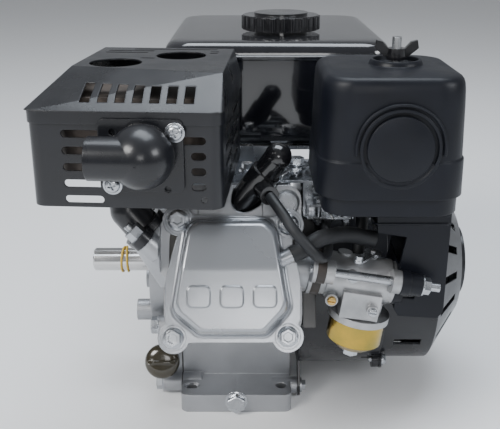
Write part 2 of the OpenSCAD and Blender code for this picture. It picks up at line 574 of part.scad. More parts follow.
module air_filter() color([0.62, 0.5, 0.3]) translate([ac_s[0] - 4, ac_s[1] - 4, 0]) difference() {
  union() { zcyl(ac_zb + 6.2, 286, 31); for (i = [0:35]) rotate(i*10) box(30, 33, -1, 1, ac_zb + 6.2, 286); }
  zcyl(ac_zb, 284, 21);
  translate([4, 4, 0]) zcyl(280, 290, 3.6);
}
module acs(d) {
  x = ac_c[0]; y = ac_c[1]; w = ac_w/2 - d; l = ac_d/2 - d;
  hull() {
    zex(ac_zb, ac_zb + 0.1) rb(x - w, x + w, y - l, y + l, 20 - d);
    zex(250, 250.1) rb(x - w + 0.5, x + w - 0.5, y - l, y + l, 20 - d);
    zex(ac_zt - 7 - d, ac_zt - 6.9 - d) rb(x - w + 3, x + w - 1.5, y - l + 0.5, y + l - 2, 19 - d);
    zex(ac_zt - 2 - d, ac_zt - 1.9 - d) rb(x - w + 5, x + w - 3.5, y - l + 2.5, y + l - 4, 17 - d);
    zex(ac_zt - 0.1 - d, ac_zt - d) rb(x - w + 9, x + w - 7.5, y - l + 6.5, y + l - 8, 14 - d);
  }
}
module air_cleaner_cover() color([0.045, 0.055, 0.075]) difference() {
  union() {
    acs(0);
    zcyl(ac_zt - 3, ac_zt + 1.5, 17, ac_s[0], ac_s[1]);
    // arch and disc on the front
    yex(-209.2, -203) translate([102, 257]) { difference() { union() { circle(26.5); translate([-26.5, -9]) square([53, 9]); } union() { circle(25); translate([-25, -10]) square([50, 11]); } } circle(20.3); }
  }
  difference() { acs(2.2); zcyl(ac_zt - 8, ac_zt, 10, ac_s[0], ac_s[1]); }
  zex(ac_zb - 1, ac_zb + 2) rb(60, 139, -202, -114, 15);
  zcyl(ac_zt - 9, ac_zt + 4, 3.15, ac_s[0], ac_s[1]);
  difference() { zcyl(ac_zt - 0.5, ac_zt + 3, 14.5, ac_s[0], ac_s[1]); zcyl(ac_zt - 2, ac_zt + 4, 8, ac_s[0], ac_s[1]); }
}
module wing_nut() color([0.05, 0.05, 0.055]) translate([ac_s[0], ac_s[1], 0]) difference() {
  union() {
    zcyl(ac_zt + 1.7, ac_zt + 9, 6);
    for (a = [0, 180]) rotate(a) yex(-1.6, 1.6) polygon([[3, ac_zt + 3], [8, ac_zt + 4], [14, ac_zt + 9], [13, ac_zt + 14], [9, ac_zt + 13], [5, ac_zt + 8.5], [3, ac_zt + 8.5]]);
  }
  zcyl(ac_zt, ac_zt + 20, 3.08);
}

// ---- ignition lead and breather ----
lead_p = [[33, -180, 206], [40.5, -190, 197.5], [49, -193, 188.5], [54.5, -192, 182], [59, -186.5, 178], [63, -175, 177.6], [65, -155, 178.3], [66, -130, 178.3], [68.5, -108, 176]];
function cylw(x, s, a) = [x, cy + s*sin(tilt) - a*cos(tilt), cz + s*cos(tilt) + a*sin(tilt)];
lead_a = [24.5, -166, 214];
module ignition_lead() color([0.07, 0.07, 0.075]) difference() {
  union() { run(concat([lead_a], lead_p, [cylw(70, 33, 86), cylw(70, 22, 79)]), 3.6, 12); }
  crank() xcyl(55, 92, fly_r + 1);
  rod(lead_a - [6.6, -19, -0.5], lead_a, 6.7);
}
module breather_tube() color([0.05, 0.06, 0.07]) difference() {
  run([cylw(26 + 14*cos(25), -9 + 14*sin(25), vf + 12), cylw(26 + 23*cos(25), -9 + 23*sin(25), vf + 12), [57, -179, 188.3], [66, -173, 188.4], [78, -166, 186.5], [90, -161, 182.4], [97, -160, 181]], 5.6, 12);
  cyl() translate([26, -9, vf + 12]) rotate([0, 0, 25]) rotate([0, 90, 0]) cylinder(r = 5.02, h = 24.05);
  difference() { xcyl(89.9, 110, 10, -160, 181); xcyl(80, 104, 5.15, -160, 181); }
}

// ---- controls ----
module control_bracket() color([0.62, 0.63, 0.66]) difference() {
  union() {
    zex(207, 209) rb(20, 84, -116, -62, 5);
    box(28, 42, -56, -53.6, 170, 209);
    box(28, 42, -64, -53.6, 207, 209);
    box(50, 84, -117.5, -116, 184.5, 209);
    zex(184.5, 186) rb(50, 86, -131, -116, 3);
    difference() { box(52, 76.4, -130, -118, 185.9, 195); box(53.5, 74.9, -131, -117.6, 184, 193.5); }
    zcyl(209, 213, 7, 46, -96);
  }
  zcyl(200, 220, 3.05, 46, -96);
  for (p = [[61, -124], [81, -124]]) zcyl(180, 200, 2.1, p[0], p[1]);
}
module control_lever() color([0.66, 0.67, 0.7]) difference() {
  union() {
    zex(213.2, 215.2) { translate([46, -96]) circle(10); translate([46, -96]) rotate(-165) rb(0, 44, -5, 5, 4.9); translate([46, -96]) rotate(-100) rb(0, 20, -4, 4, 3.9); }
    zcyl(213.2, 219.4, 4, 46 + 38*cos(-165), -96 + 38*sin(-165));
  }
  zcyl(200, 230, 3.05, 46, -96);
}
module control_bolts() color([0.72, 0.73, 0.76]) {
  zcyl(202, 216, 3, 46, -96);
  translate([46, -96, 215.5]) { hex(10, 5); cylinder(r = 7, h = 1.2); }
  zcyl(203.5, 207, 5.4, 46, -96);
  for (p = [[61, -124, 195.2], [81, -124, 186.1]]) { zcyl(178, p[2], 2, p[0], p[1]); translate([p[0], p[1], p[2]]) hex(7, 3); translate([p[0], p[1], 180.6]) hex(7, 3); }
}

// ---- cooling and starter ----
bb = [[-70, 10], [-60, 164], [66, 40], [46, 142]];
module blower_housing() color([0.05, 0.05, 0.055]) difference() {
  union() {
    crank() xcyl(52.2, 118, blow_r);
    cyl() zex(50, 112) rb(50.5, 60, -54, 52, 1.2);
    for (b = bb) hull() { xcyl(52.2, 54, 9, b[0], b[1]); xcyl(52.2, 54, 9, cy + (b[0] - cy)*0.72, cz + (b[1] - cz)*0.72); }
    for (a = [45, 135, 225, 315]) crank() rotate([a, 0, 0]) xcyl(112, 118, 6.5, 0, blow_r + 1.4);
  }
  crank() difference() { xcyl(54, 116.5, blow_r - 1.5); }
  cyl() zex(49, 110.5) rb(50, 58.5, -52.5, 50.5, 1);
  crank() xcyl(50, 56, 62);
  crank() xcyl(110, 120, 60);
  for (b = bb) xcyl(50, 60, 3.2, b[0], b[1]);
  for (a = [45, 135, 225, 315]) crank() rotate([a, 0, 0]) xcyl(104, 119, 2.55, 0, blow_r + 1.4);
  rod(cylw(70, 34, 88), cylw(70, 20, 76), 4);
}
module shroud_bolts() color([0.7, 0.71, 0.74]) {
  for (b = bb) translate([54, b[0], b[1]]) rotate([0, 90, 0]) { flange_hex(8, 5, 6.2); translate([0, 0, -18]) cylinder(r = 3, h = 18); }
  for (a = [45, 135, 225, 315]) crank() rotate([a, 0, 0]) translate([120, 0, blow_r + 1.4]) rotate([0, 90, 0]) { flange_hex(7, 4, 5); translate([0, 0, -10]) cylinder(r = 2.5, h = 10); }
}
g_dir = [0, 0.26, 0.9656];
module recoil_case() color([0.05, 0.05, 0.055]) difference() {
  union() {
    crank() { xcyl(118, 160, rec_r); translate([159.9, 0, 0]) rotate([0, 90, 0]) cylinder(r1 = rec_r, r2 = 46, h = 26); xcyl(181, rec_x, 30); }
    crank() for (a = [45, 135, 225, 315]) rotate([a, 0, 0]) { xcyl(118.2, 120, 7, 0, blow_r + 1.4); box(118.2, 120, -6, 6, 70, blow_r + 1); }
    // rope guide
    rod([134, cy + 76*g_dir[1], cz + 76*g_dir[2]], [134, cy + 90*g_dir[1], cz + 90*g_dir[2]], 9);
  }
  difference() {
  crank() { xcyl(117, 160, rec_r - 2.5); translate([159.8, 0, 0]) rotate([0, 90, 0]) cylinder(r1 = rec_r - 2.5, r2 = 45, h = 23.6); xcyl(179, rec_x - 2.5, 27.5);}
  crank() xcyl(124, rec_x - 1, 8.22);
  }
  crank() for (a = [45, 135, 225, 315]) rotate([a, 0, 0]) xcyl(117, 121, 2.7, 0, blow_r + 1.4);
  // air slots
  crank() for (i = [0:17]) rotate([i*20, 0, 0]) box(163, 179, -3, 3, 38, 90);
  crank() for (i = [0:11]) rotate([i*30, 0, 0]) box(128, 150, -4, 4, 75, 90);
  rod([134, cy + 60*g_dir[1], cz + 60*g_dir[2]], [134, cy + 92*g_dir[1], cz + 92*g_dir[2]], 3.2);
}
module recoil_reel() color([0.16, 0.16, 0.17]) crank() difference() {
  union() { xcyl(126, 129, 58); xcyl(139, 142, 58); xcyl(126, 142, 50); xcyl(126, 176, 16); xcyl(123, 127, 30); }
  xcyl(120, 179, 8.3);
}
module starter_grip() color([0.05, 0.05, 0.055]) {
  o = [134, cy, cz];
  rod(o + 70*g_dir, o + 98*g_dir, 1.8);
  rod(o + 91*g_dir, o + 100*g_dir, 7);
  translate(o + 103*g_dir) rotate([-15 + 90, 0, 0]) translate([0, 0, -28]) { cylinder(r = 8, h = 56); sphere(8); translate([0, 0, 56]) sphere(8); }
}
module ignition_coil() color([0.1, 0.1, 0.1]) difference() {
  cyl() { zex(fly_r + 6, 84) rb(64, 82, -19, 19, 2); for (y = [-14, 8]) zex(fly_r - 4, 78) rb(68, 78, y, y + 6, 1); }
  crank() xcyl(50, 100, fly_r + 0.6);
}

// ---- crank train ----
module gear2d(n, m, ph) {
  r = n*m/2;
  difference() {
    union() {
      circle(r - m*1.0);
      for (i = [0:n - 1]) rotate(ph + i*360/n) polygon([[r - m*1.3, -m*0.82], [r - m*1.3, m*0.82], [r + m*0.78, m*0.3], [r + m*0.78, -m*0.3]]);
    }
    circle(5);
  }
}
gph = atan2(cam_a, cam_s);
module connecting_rod() color([0.72, 0.73, 0.75]) cyl() difference() {
  union() {
    xcyl(-11.5, 11.5, 20, 0, thr);
    xcyl(-9, 9, 12, 0, pin_a);
    zex(thr + 14, pin_a - 8) { square([8, 20], center = true); square([14, 4], center = true); }
    for (s = [-1, 1]) translate([0, s*19, thr]) zcyl(-12, 12, 6);
  }
  xcyl(-12, 12, 15.04, 0, thr);
  xcyl(-12, 12, 9.02, 0, pin_a);
}
module crank_pin() color([0.6, 0.61, 0.63]) cyl() difference() { xcyl(-11.6, 11.6, 15, 0, thr); xcyl(-12, 12, 6, 0, thr); }
module piston() color([0.76, 0.77, 0.78]) cyl() difference() {
  union() { zcyl(pin_a - 20, deck - 0.5, bore_r - 0.06); }
  zcyl(pin_a - 21, pin_a + 16, bore_r - 4);
  for (i = [0:2]) difference() { zcyl(deck - 6 - 4*i, deck - 4.5 - 4*i, bore_r + 1); zcyl(deck - 7 - 4*i, deck - 3 - 4*i, bore_r - 2.6); }
  xcyl(-40, 40, 9.02, 0, pin_a);
}
module wrist_pin() color([0.62, 0.63, 0.65]) cyl() difference() { xcyl(-31, 31, 9, 0, pin_a); xcyl(-32, 32, 5.5, 0, pin_a); }
module crankshaft() color([0.66, 0.67, 0.69]) difference() {
  union() {
    crank() {
      xcyl(-shaft_end + 1.5, -60, shaft_d/2);
      translate([-shaft_end, 0, 0]) rotate([0, 90, 0]) cylinder(r1 = shaft_d/2 - 1.5, r2 = shaft_d/2, h = 1.51);
      xcyl(-66.5, -24, 12.5);
      xcyl(24, 52, 12.5);
      xcyl(51, 95, 11);
      xcyl(94, 110, 7);
      xcyl(-29, -23, 17);
      xcyl(23, 28, 17);
    }
    cyl() for (x = [-24, 12]) intersection() { xcyl(x, x + 12, 39); union() { xcyl(x, x + 12, 19, 0, 20); xcyl(x, x + 12, 20); difference() { xcyl(x, x + 12, 39); zcyl(-8, 60, 80); } } }
    cyl() xex(-41, -33) gear2d(crank_t, gear_m, gph);
  }
  // keyway and end thread
  crank() { rotate([36, 0, 0]) box(-shaft_end - 1, -78, -2.5, 2.5, shaft_d/2 - 3, shaft_d/2 + 5); xcyl(-shaft_end - 1, -shaft_end + 24, 3.4); }
}
module flywheel() color([0.6, 0.61, 0.63]) crank() difference() {
  union() {
    xcyl(64, 70, fly_r);
    difference() { xcyl(64, 84, fly_r); xcyl(69, 85, fly_r - 12); }
    xcyl(60, 95, 24);
    for (i = [0:17]) rotate([i*20, 0, 0]) box(69.5, 104, -1.6, 1.6, 34, fly_r - 2);
    difference() { xcyl(69.5, 72, 36); }
  }
  xcyl(59, 96, 11);
  for (i = [0:5]) rotate([i*60 + 10, 0, 0]) xcyl(63, 73, 3.5, 0, 29);
}
module starter_cup() color([0.35, 0.36, 0.38]) crank() difference() {
  union() {
    xcyl(95.05, 98, 30);
    difference() { xcyl(98 - e, 116, 30); xcyl(98, 117, 28); }
    translate([98, 0, 0]) rotate([0, 90, 0]) hex(22, 10);
  }
  xcyl(94, 112, 7);
  for (i = [0:5]) rotate([i*60, 0, 0]) box(103, 112, -4, 4, 20, 40);
}
module camshaft() color([0.5, 0.5, 0.51]) cyl() difference() {
  union() {
    xcyl(-52 + 0.4, 42 - 0.4, 8, cam_s, cam_a);
    translate([0, cam_s, cam_a]) xex(-41, -33) gear2d(2*crank_t, gear_m, gph + 180 + 180/(2*crank_t));
    xcyl(-33.1, -28, 16, cam_s, cam_a);
    translate([0, cam_s, cam_a]) for (k = [[-17.5, -8.5, 200], [8.5, 17.5, 320]]) xex(k[0], k[1]) union() { circle(12); rotate(k[2]) hull() { circle(11.5); translate([6.5, 0]) circle(9.5); } }
  }
}
module dipstick() color([0.12, 0.12, 0.1]) dipf() {
  translate([0, 0, 6.4]) cylinder(r = 14.5, h = 6);
  translate([0, 0, 12.3]) cylinder(r1 = 14.5, r2 = 11, h = 4);
  zcyl(-14, 6.5, 8.2);
  zcyl(-21, -13.9, 2);
  translate([0, 0, 16]) linear_extrude(4) rb(-11, 11, -2.5, 2.5, 2.4);
}

// ---- small levers ----
module choke_lever() color([0.7, 0.71, 0.73]) intake() difference() {
  union() {
    zex(17.8, 19.6) translate([44, 2]) { circle(6); rotate(-125) rb(0, 25.5, -3.5, 3.5, 3.4); }
    zcyl(17.8, 22.5, 3, 44 + 22*cos(-125), 2 + 22*sin(-125));
  }
  zcyl(10, 25, 2, 44, 2);
}
module fuel_valve_lever() color([0.12, 0.12, 0.13]) intake() difference() {
  yex(25, 27.6) translate([40, -18.2]) { circle(4.8); rotate(-60) rb(0, 14, -3, 3, 2.9); }
  yex(24, 29) translate([40, -18.2]) circle(2);
}

// ---- output ----
crankcase();
cylinder_sleeve();
crankcase_cover();
gaskets();
cover_bolts();
crank_bearings();
oil_seals();
drain_bolt();
cylinder_head();
head_bolts();
valves();
rocker_arms();
pushrods();
valve_cover();
valve_cover_bolts();
spark_plug();
plug_cap();
ignition_lead();
breather_tube();
exhaust_pipe();
exhaust_nuts();
muffler_body();
shroud_upper();
shroud_lower();
exhaust_deflector();
deflector_screws();
fuel_tank();
tank_bracket();
fuel_hose();
air_duct();
air_filter();
air_stud();
carburetor_body();
float_bowl();
bowl_bolt();
insulator();
intake_studs();
control_bracket();
control_bolts();
blower_housing();
recoil_case();
shroud_bolts();
ignition_coil();
connecting_rod();
piston();
wrist_pin();
crank_pin();
crankshaft();
flywheel();
starter_cup();
camshaft();
recoil_reel();
starter_grip();
fuel_cap();
dipstick();
air_cleaner_cover();
wing_nut();
control_lever();
choke_lever();
fuel_valve_lever();
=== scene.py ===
import math

import bmesh
import bpy
from bpy.props import FloatProperty, FloatVectorProperty, IntProperty, PointerProperty
from mathutils import Matrix, Vector


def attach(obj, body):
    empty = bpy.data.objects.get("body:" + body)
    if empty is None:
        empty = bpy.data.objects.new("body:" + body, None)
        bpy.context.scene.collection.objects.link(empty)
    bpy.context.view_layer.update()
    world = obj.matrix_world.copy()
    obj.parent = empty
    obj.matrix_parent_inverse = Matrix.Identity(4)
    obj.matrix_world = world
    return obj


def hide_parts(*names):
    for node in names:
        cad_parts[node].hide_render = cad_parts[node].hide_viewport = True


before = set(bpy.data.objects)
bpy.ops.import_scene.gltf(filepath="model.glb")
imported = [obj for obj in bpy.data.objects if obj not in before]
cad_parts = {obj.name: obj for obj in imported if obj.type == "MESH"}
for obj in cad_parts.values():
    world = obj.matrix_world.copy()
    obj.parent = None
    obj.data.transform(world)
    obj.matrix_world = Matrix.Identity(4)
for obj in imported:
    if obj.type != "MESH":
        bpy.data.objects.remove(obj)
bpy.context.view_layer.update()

bl_info = {
    "name": "Small petrol engine",
    "version": (1, 0, 0),
    "blender": (4, 5, 0),
    "location": "View3D > Sidebar > Engine",
    "description": "Finishes, covers, hoses, fasteners and a studio stage around the engine's CAD frame",
    "category": "Object",
}

MM = 0.001


def at(x, y, z):
    """A move in millimetres."""
    return Matrix.Translation(Vector((x, y, z)) * MM)


def about(axis, degrees):
    """A turn in degrees about one axis."""
    return Matrix.Rotation(math.radians(degrees), 4, axis)


# places that the CAD model is built from, in millimetres and degrees
CRANK_Y, CRANK_Z = -20, 106
BARREL_RISE = 25
CRANK = at(0, CRANK_Y, CRANK_Z)
BARREL = CRANK @ about("X", 90 - BARREL_RISE)
INTAKE = at(50, -160, 158) @ about("Y", 9)
MUFFLER = at(-59, -143, 0) @ about("Z", -4)
PORT = at(-46, -160, 175) @ about("Y", -45)
DIPPER = at(-62, -70, 34.5) @ about("X", 68)
COVER_FACE = 169
COVER_SHIFT = -19
STUB_ROOT = (26, -9, COVER_FACE + 12)
STUB_TURN = 25
COVER_BOLTS = [(-36.5, 39.5), (37, 36.5), (-39, -38.5), (36.5, -37.5)]
CASE_BOLTS = [(-66, 11), (-85.3, 75.6), (0.2, 175.2), (-62.3, 164.2), (66, 138), (66, 12), (72, 76)]

# the tank and the air cleaner cover, and the thickness of each hose
TANK_X = (-55, 120)
TANK_Y = (-55, 148)
TANK_FLOOR = 217
NECK = (37, 10)
CLEANER_MIDDLE = (98.5, -158)
CLEANER_HALF = (46, 50)
CLEANER_RIM = 225
CLEANER_BOSS = (105, -152)
LEAD_RADIUS = 3.6
BREATHER_RADIUS = 5.6
HOSE_RADIUS = 4.4


# ---- sizes and colours ----
def colour(name, default, text):
    """A colour that the add-on lets the user set."""
    return FloatVectorProperty(
        name=name, subtype="COLOR", size=3, min=0, max=1, default=default, description=text,
    )


def length(name, default, text):
    """A length that the user can set, given here in millimetres."""
    return FloatProperty(name=name, unit="LENGTH", default=default * MM, min=0, description=text)


class ENGINE_PG_finishes(bpy.types.PropertyGroup):
    cast: colour("Cast aluminium", (0.4, 0.41, 0.43), "Crankcase, head and flywheel castings")
    silver: colour("Silver paint", (0.37, 0.385, 0.41), "Valve cover")
    zinc: colour("Zinc plate", (0.5, 0.52, 0.55), "Bolts, nuts and brackets")
    ground: colour("Ground steel", (0.7, 0.7, 0.7), "Output shaft")
    enamel: colour("Black enamel", (0.008, 0.0086, 0.011), "Muffler cover and blower housing")
    tank: colour("Tank black", (0.006, 0.0065, 0.009), "Fuel tank")
    plastic: colour("Air cleaner plastic", (0.0045, 0.0055, 0.009), "Air cleaner cover and duct")
    rubber: colour("Rubber", (0.012, 0.013, 0.015), "Leads and hoses")
    chromate: colour("Yellow chromate", (0.47, 0.31, 0.055), "Float bowl")
    band: colour("Rubber band", (0.72, 0.47, 0.06), "Band on the output shaft")
    cap: colour("Oil cap", (0.035, 0.028, 0.012), "Oil filler cap")


class ENGINE_PG_sizes(bpy.types.PropertyGroup):
    dome_height: length("Valve cover dome", 27, "Height of the valve cover above its gasket")
    cover_wall: length("Air cleaner wall", 2.2, "Wall of the air cleaner cover")
    tube_sides: IntProperty(
        name="Tube sides", default=20, min=8, max=48, description="Sides round each lead and hose",
    )


# ---- node groups shared by the finishes ----
def new_group(name, inputs, outputs):
    """An empty node group with its sockets, its input node and its output node."""
    group = bpy.data.node_groups.new(name, "ShaderNodeTree")
    for label, kind, value in inputs:
        sock = group.interface.new_socket(name=label, in_out="INPUT", socket_type=kind)
        if value is not None:
            sock.default_value = value
    for label, kind in outputs:
        group.interface.new_socket(name=label, in_out="OUTPUT", socket_type=kind)
    return group, group.nodes.new("NodeGroupInput"), group.nodes.new("NodeGroupOutput")


def tone_drift():
    """Two tones of one colour that drift over a surface, with small specks."""
    group, given, result = new_group(
        "Tone drift",
        [
            ("Vector", "NodeSocketVector", None), ("Tone A", "NodeSocketColor", (0.5, 0.5, 0.5, 1)),
            ("Tone B", "NodeSocketColor", (0.6, 0.6, 0.6, 1)), ("Scale", "NodeSocketFloat", 30.0),
            ("Speck", "NodeSocketFloat", 0.1),
        ],
        [("Color", "NodeSocketColor"), ("Mask", "NodeSocketFloat")],
    )
    nodes, links = group.nodes, group.links
    broad = nodes.new("ShaderNodeTexNoise")
    broad.inputs["Detail"].default_value = 4
    fine = nodes.new("ShaderNodeTexNoise")
    fine.inputs["Detail"].default_value = 2
    times = nodes.new("ShaderNodeMath")
    times.operation = "MULTIPLY"
    times.inputs[1].default_value = 14
    ramp = nodes.new("ShaderNodeMapRange")
    ramp.inputs["From Min"].default_value = 0.34
    ramp.inputs["From Max"].default_value = 0.66
    speck = nodes.new("ShaderNodeMath")
    speck.operation = "MULTIPLY_ADD"
    less = nodes.new("ShaderNodeMath")
    less.operation = "SUBTRACT"
    less.inputs[1].default_value = 0.5
    mix = nodes.new("ShaderNodeMix")
    mix.data_type = "RGBA"
    mix.clamp_factor = True
    links.new(given.outputs["Vector"], broad.inputs["Vector"])
    links.new(given.outputs["Scale"], broad.inputs["Scale"])
    links.new(given.outputs["Scale"], times.inputs[0])
    links.new(times.outputs[0], fine.inputs["Scale"])
    links.new(given.outputs["Vector"], fine.inputs["Vector"])
    links.new(broad.outputs["Fac"], ramp.inputs["Value"])
    links.new(fine.outputs["Fac"], less.inputs[0])
    links.new(less.outputs[0], speck.inputs[0])
    links.new(given.outputs["Speck"], speck.inputs[1])
    links.new(ramp.outputs["Result"], speck.inputs[2])
    links.new(speck.outputs[0], mix.inputs[0])
    links.new(given.outputs["Tone A"], mix.inputs[6])
    links.new(given.outputs["Tone B"], mix.inputs[7])
    links.new(mix.outputs[2], result.inputs["Color"])
    links.new(speck.outputs[0], result.inputs["Mask"])
    return group


def edge_rub():
    """White along outer edges, broken up by noise."""
    group, given, result = new_group(
        "Edge rub",
        [
            ("Vector", "NodeSocketVector", None), ("Width", "NodeSocketFloat", 0.001),
            ("Amount", "NodeSocketFloat", 1.0),
        ],
        [("Mask", "NodeSocketFloat"), ("Normal", "NodeSocketVector")],
    )
    nodes, links = group.nodes, group.links
    bevel = nodes.new("ShaderNodeBevel")
    bevel.samples = 4
    geo = nodes.new("ShaderNodeNewGeometry")
    dot = nodes.new("ShaderNodeVectorMath")
    dot.operation = "DOT_PRODUCT"
    ramp = nodes.new("ShaderNodeMapRange")
    ramp.inputs["From Min"].default_value = 0.985
    ramp.inputs["From Max"].default_value = 0.8
    noise = nodes.new("ShaderNodeTexNoise")
    noise.inputs["Scale"].default_value = 160
    noise.inputs["Detail"].default_value = 3
    broken = nodes.new("ShaderNodeMapRange")
    broken.inputs["From Min"].default_value = 0.35
    broken.inputs["From Max"].default_value = 0.7
    patchy = nodes.new("ShaderNodeMath")
    patchy.operation = "MULTIPLY"
    scaled = nodes.new("ShaderNodeMath")
    scaled.operation = "MULTIPLY"
    scaled.use_clamp = True
    links.new(given.outputs["Width"], bevel.inputs["Radius"])
    links.new(bevel.outputs[0], dot.inputs[0])
    links.new(geo.outputs["Normal"], dot.inputs[1])
    links.new(dot.outputs["Value"], ramp.inputs["Value"])
    links.new(given.outputs["Vector"], noise.inputs["Vector"])
    links.new(noise.outputs["Fac"], broken.inputs["Value"])
    links.new(ramp.outputs["Result"], patchy.inputs[0])
    links.new(broken.outputs["Result"], patchy.inputs[1])
    links.new(patchy.outputs[0], scaled.inputs[0])
    links.new(given.outputs["Amount"], scaled.inputs[1])
    links.new(scaled.outputs[0], result.inputs["Mask"])
    links.new(bevel.outputs[0], result.inputs["Normal"])
    return group


def grain_height():
    """Height of a fine cast or moulded grain over a broad unevenness."""
    group, given, result = new_group(
        "Grain height",
        [
            ("Vector", "NodeSocketVector", None), ("Grain", "NodeSocketFloat", 900.0),
            ("Swell", "NodeSocketFloat", 0.3),
        ],
        [("Height", "NodeSocketFloat")],
    )
    nodes, links = group.nodes, group.links
    fine = nodes.new("ShaderNodeTexNoise")
    fine.inputs["Detail"].default_value = 3
    fine.inputs["Roughness"].default_value = 0.6
    broad = nodes.new("ShaderNodeTexNoise")
    broad.inputs["Scale"].default_value = 55
    broad.inputs["Detail"].default_value = 2
    join = nodes.new("ShaderNodeMath")
    join.operation = "MULTIPLY_ADD"
    for t in (fine, broad):
        links.new(given.outputs["Vector"], t.inputs["Vector"])
    links.new(given.outputs["Grain"], fine.inputs["Scale"])
    links.new(broad.outputs["Fac"], join.inputs[0])
    links.new(given.outputs["Swell"], join.inputs[1])
    links.new(fine.outputs["Fac"], join.inputs[2])
    links.new(join.outputs[0], result.inputs["Height"])
    return group


def settled_dust():
    """Thin dust where a surface faces up."""
    group, given, result = new_group(
        "Settled dust",
        [("Vector", "NodeSocketVector", None), ("Amount", "NodeSocketFloat", 0.2)],
        [("Mask", "NodeSocketFloat")],
    )
    nodes, links = group.nodes, group.links
    geo = nodes.new("ShaderNodeNewGeometry")
    split = nodes.new("ShaderNodeSeparateXYZ")
    up = nodes.new("ShaderNodeMapRange")
    up.inputs["From Min"].default_value = 0.2
    noise = nodes.new("ShaderNodeTexNoise")
    noise.inputs["Scale"].default_value = 70
    noise.inputs["Detail"].default_value = 6
    patchy = nodes.new("ShaderNodeMath")
    patchy.operation = "MULTIPLY"
    scaled = nodes.new("ShaderNodeMath")
    scaled.operation = "MULTIPLY"
    scaled.use_clamp = True
    links.new(geo.outputs["Normal"], split.inputs[0])
    links.new(split.outputs["Z"], up.inputs["Value"])
    links.new(given.outputs["Vector"], noise.inputs["Vector"])
    links.new(up.outputs["Result"], patchy.inputs[0])
    links.new(noise.outputs["Fac"], patchy.inputs[1])
    links.new(patchy.outputs[0], scaled.inputs[0])
    links.new(given.outputs["Amount"], scaled.inputs[1])
    links.new(scaled.outputs[0], result.inputs["Mask"])
    return group


GROUPS = {}
FINISHES = {}


def shade(value, k):
    """A colour made lighter or darker by a factor."""
    return tuple(min(1.0, max(0.0, c * k)) for c in value)


def finish(
    name, tone, tone_b=None, rough=0.4, rough_swing=0.08, metallic=0.0, scale=40.0, speck=0.15,
    grain=900.0, swell=0.3, bump=0.06, rub=0.0, rub_colour=(0.5, 0.5, 0.52), rub_width=0.9,
    dust=0.0, coat=0.0, coat_rough=0.1, ior=1.5,
):
    """One surface finish: drifting tone, grain, rubbed edges and a little dust."""
    material = bpy.data.materials.new(name)
    material.use_nodes = True
    nodes, links = material.node_tree.nodes, material.node_tree.links
    shader = nodes["Principled BSDF"]
    where = nodes.new("ShaderNodeTexCoord").outputs["Object"]

    def put(group, **values):
        node = nodes.new("ShaderNodeGroup")
        node.node_tree = GROUPS[group]
        node.label = group
        links.new(where, node.inputs["Vector"])
        for key, value in values.items():
            node.inputs[key.replace("_", " ")].default_value = value
        return node

    tone_b = tone_b or shade(tone, 0.82)
    drift = put("Tone drift", Tone_A=(*tone, 1), Tone_B=(*tone_b, 1), Scale=scale, Speck=speck)
    edges = put("Edge rub", Width=rub_width * MM, Amount=rub)
    height = put("Grain height", Grain=grain, Swell=swell)
    out = drift.outputs["Color"]
    if rub:
        mix = nodes.new("ShaderNodeMix")
        mix.data_type = "RGBA"
        links.new(edges.outputs["Mask"], mix.inputs[0])
        links.new(out, mix.inputs[6])
        mix.inputs[7].default_value = (*rub_colour, 1)
        out = mix.outputs[2]
    if dust:
        layer = put("Settled dust", Amount=dust)
        mix = nodes.new("ShaderNodeMix")
        mix.data_type = "RGBA"
        links.new(layer.outputs["Mask"], mix.inputs[0])
        links.new(out, mix.inputs[6])
        mix.inputs[7].default_value = (0.42, 0.41, 0.39, 1)
        out = mix.outputs[2]
    links.new(out, shader.inputs["Base Color"])
    spread = nodes.new("ShaderNodeMapRange")
    spread.inputs["To Min"].default_value = max(0.02, rough - rough_swing)
    spread.inputs["To Max"].default_value = rough + rough_swing
    links.new(drift.outputs["Mask"], spread.inputs["Value"])
    links.new(spread.outputs["Result"], shader.inputs["Roughness"])
    bumps = nodes.new("ShaderNodeBump")
    bumps.inputs["Strength"].default_value = bump
    bumps.inputs["Distance"].default_value = 0.0006
    links.new(height.outputs["Height"], bumps.inputs["Height"])
    links.new(edges.outputs["Normal"], bumps.inputs["Normal"])
    links.new(bumps.outputs[0], shader.inputs["Normal"])
    shader.inputs["Metallic"].default_value = metallic
    shader.inputs["IOR"].default_value = ior
    shader.inputs["Coat Weight"].default_value = coat
    shader.inputs["Coat Roughness"].default_value = coat_rough
    FINISHES[name] = material
    return material


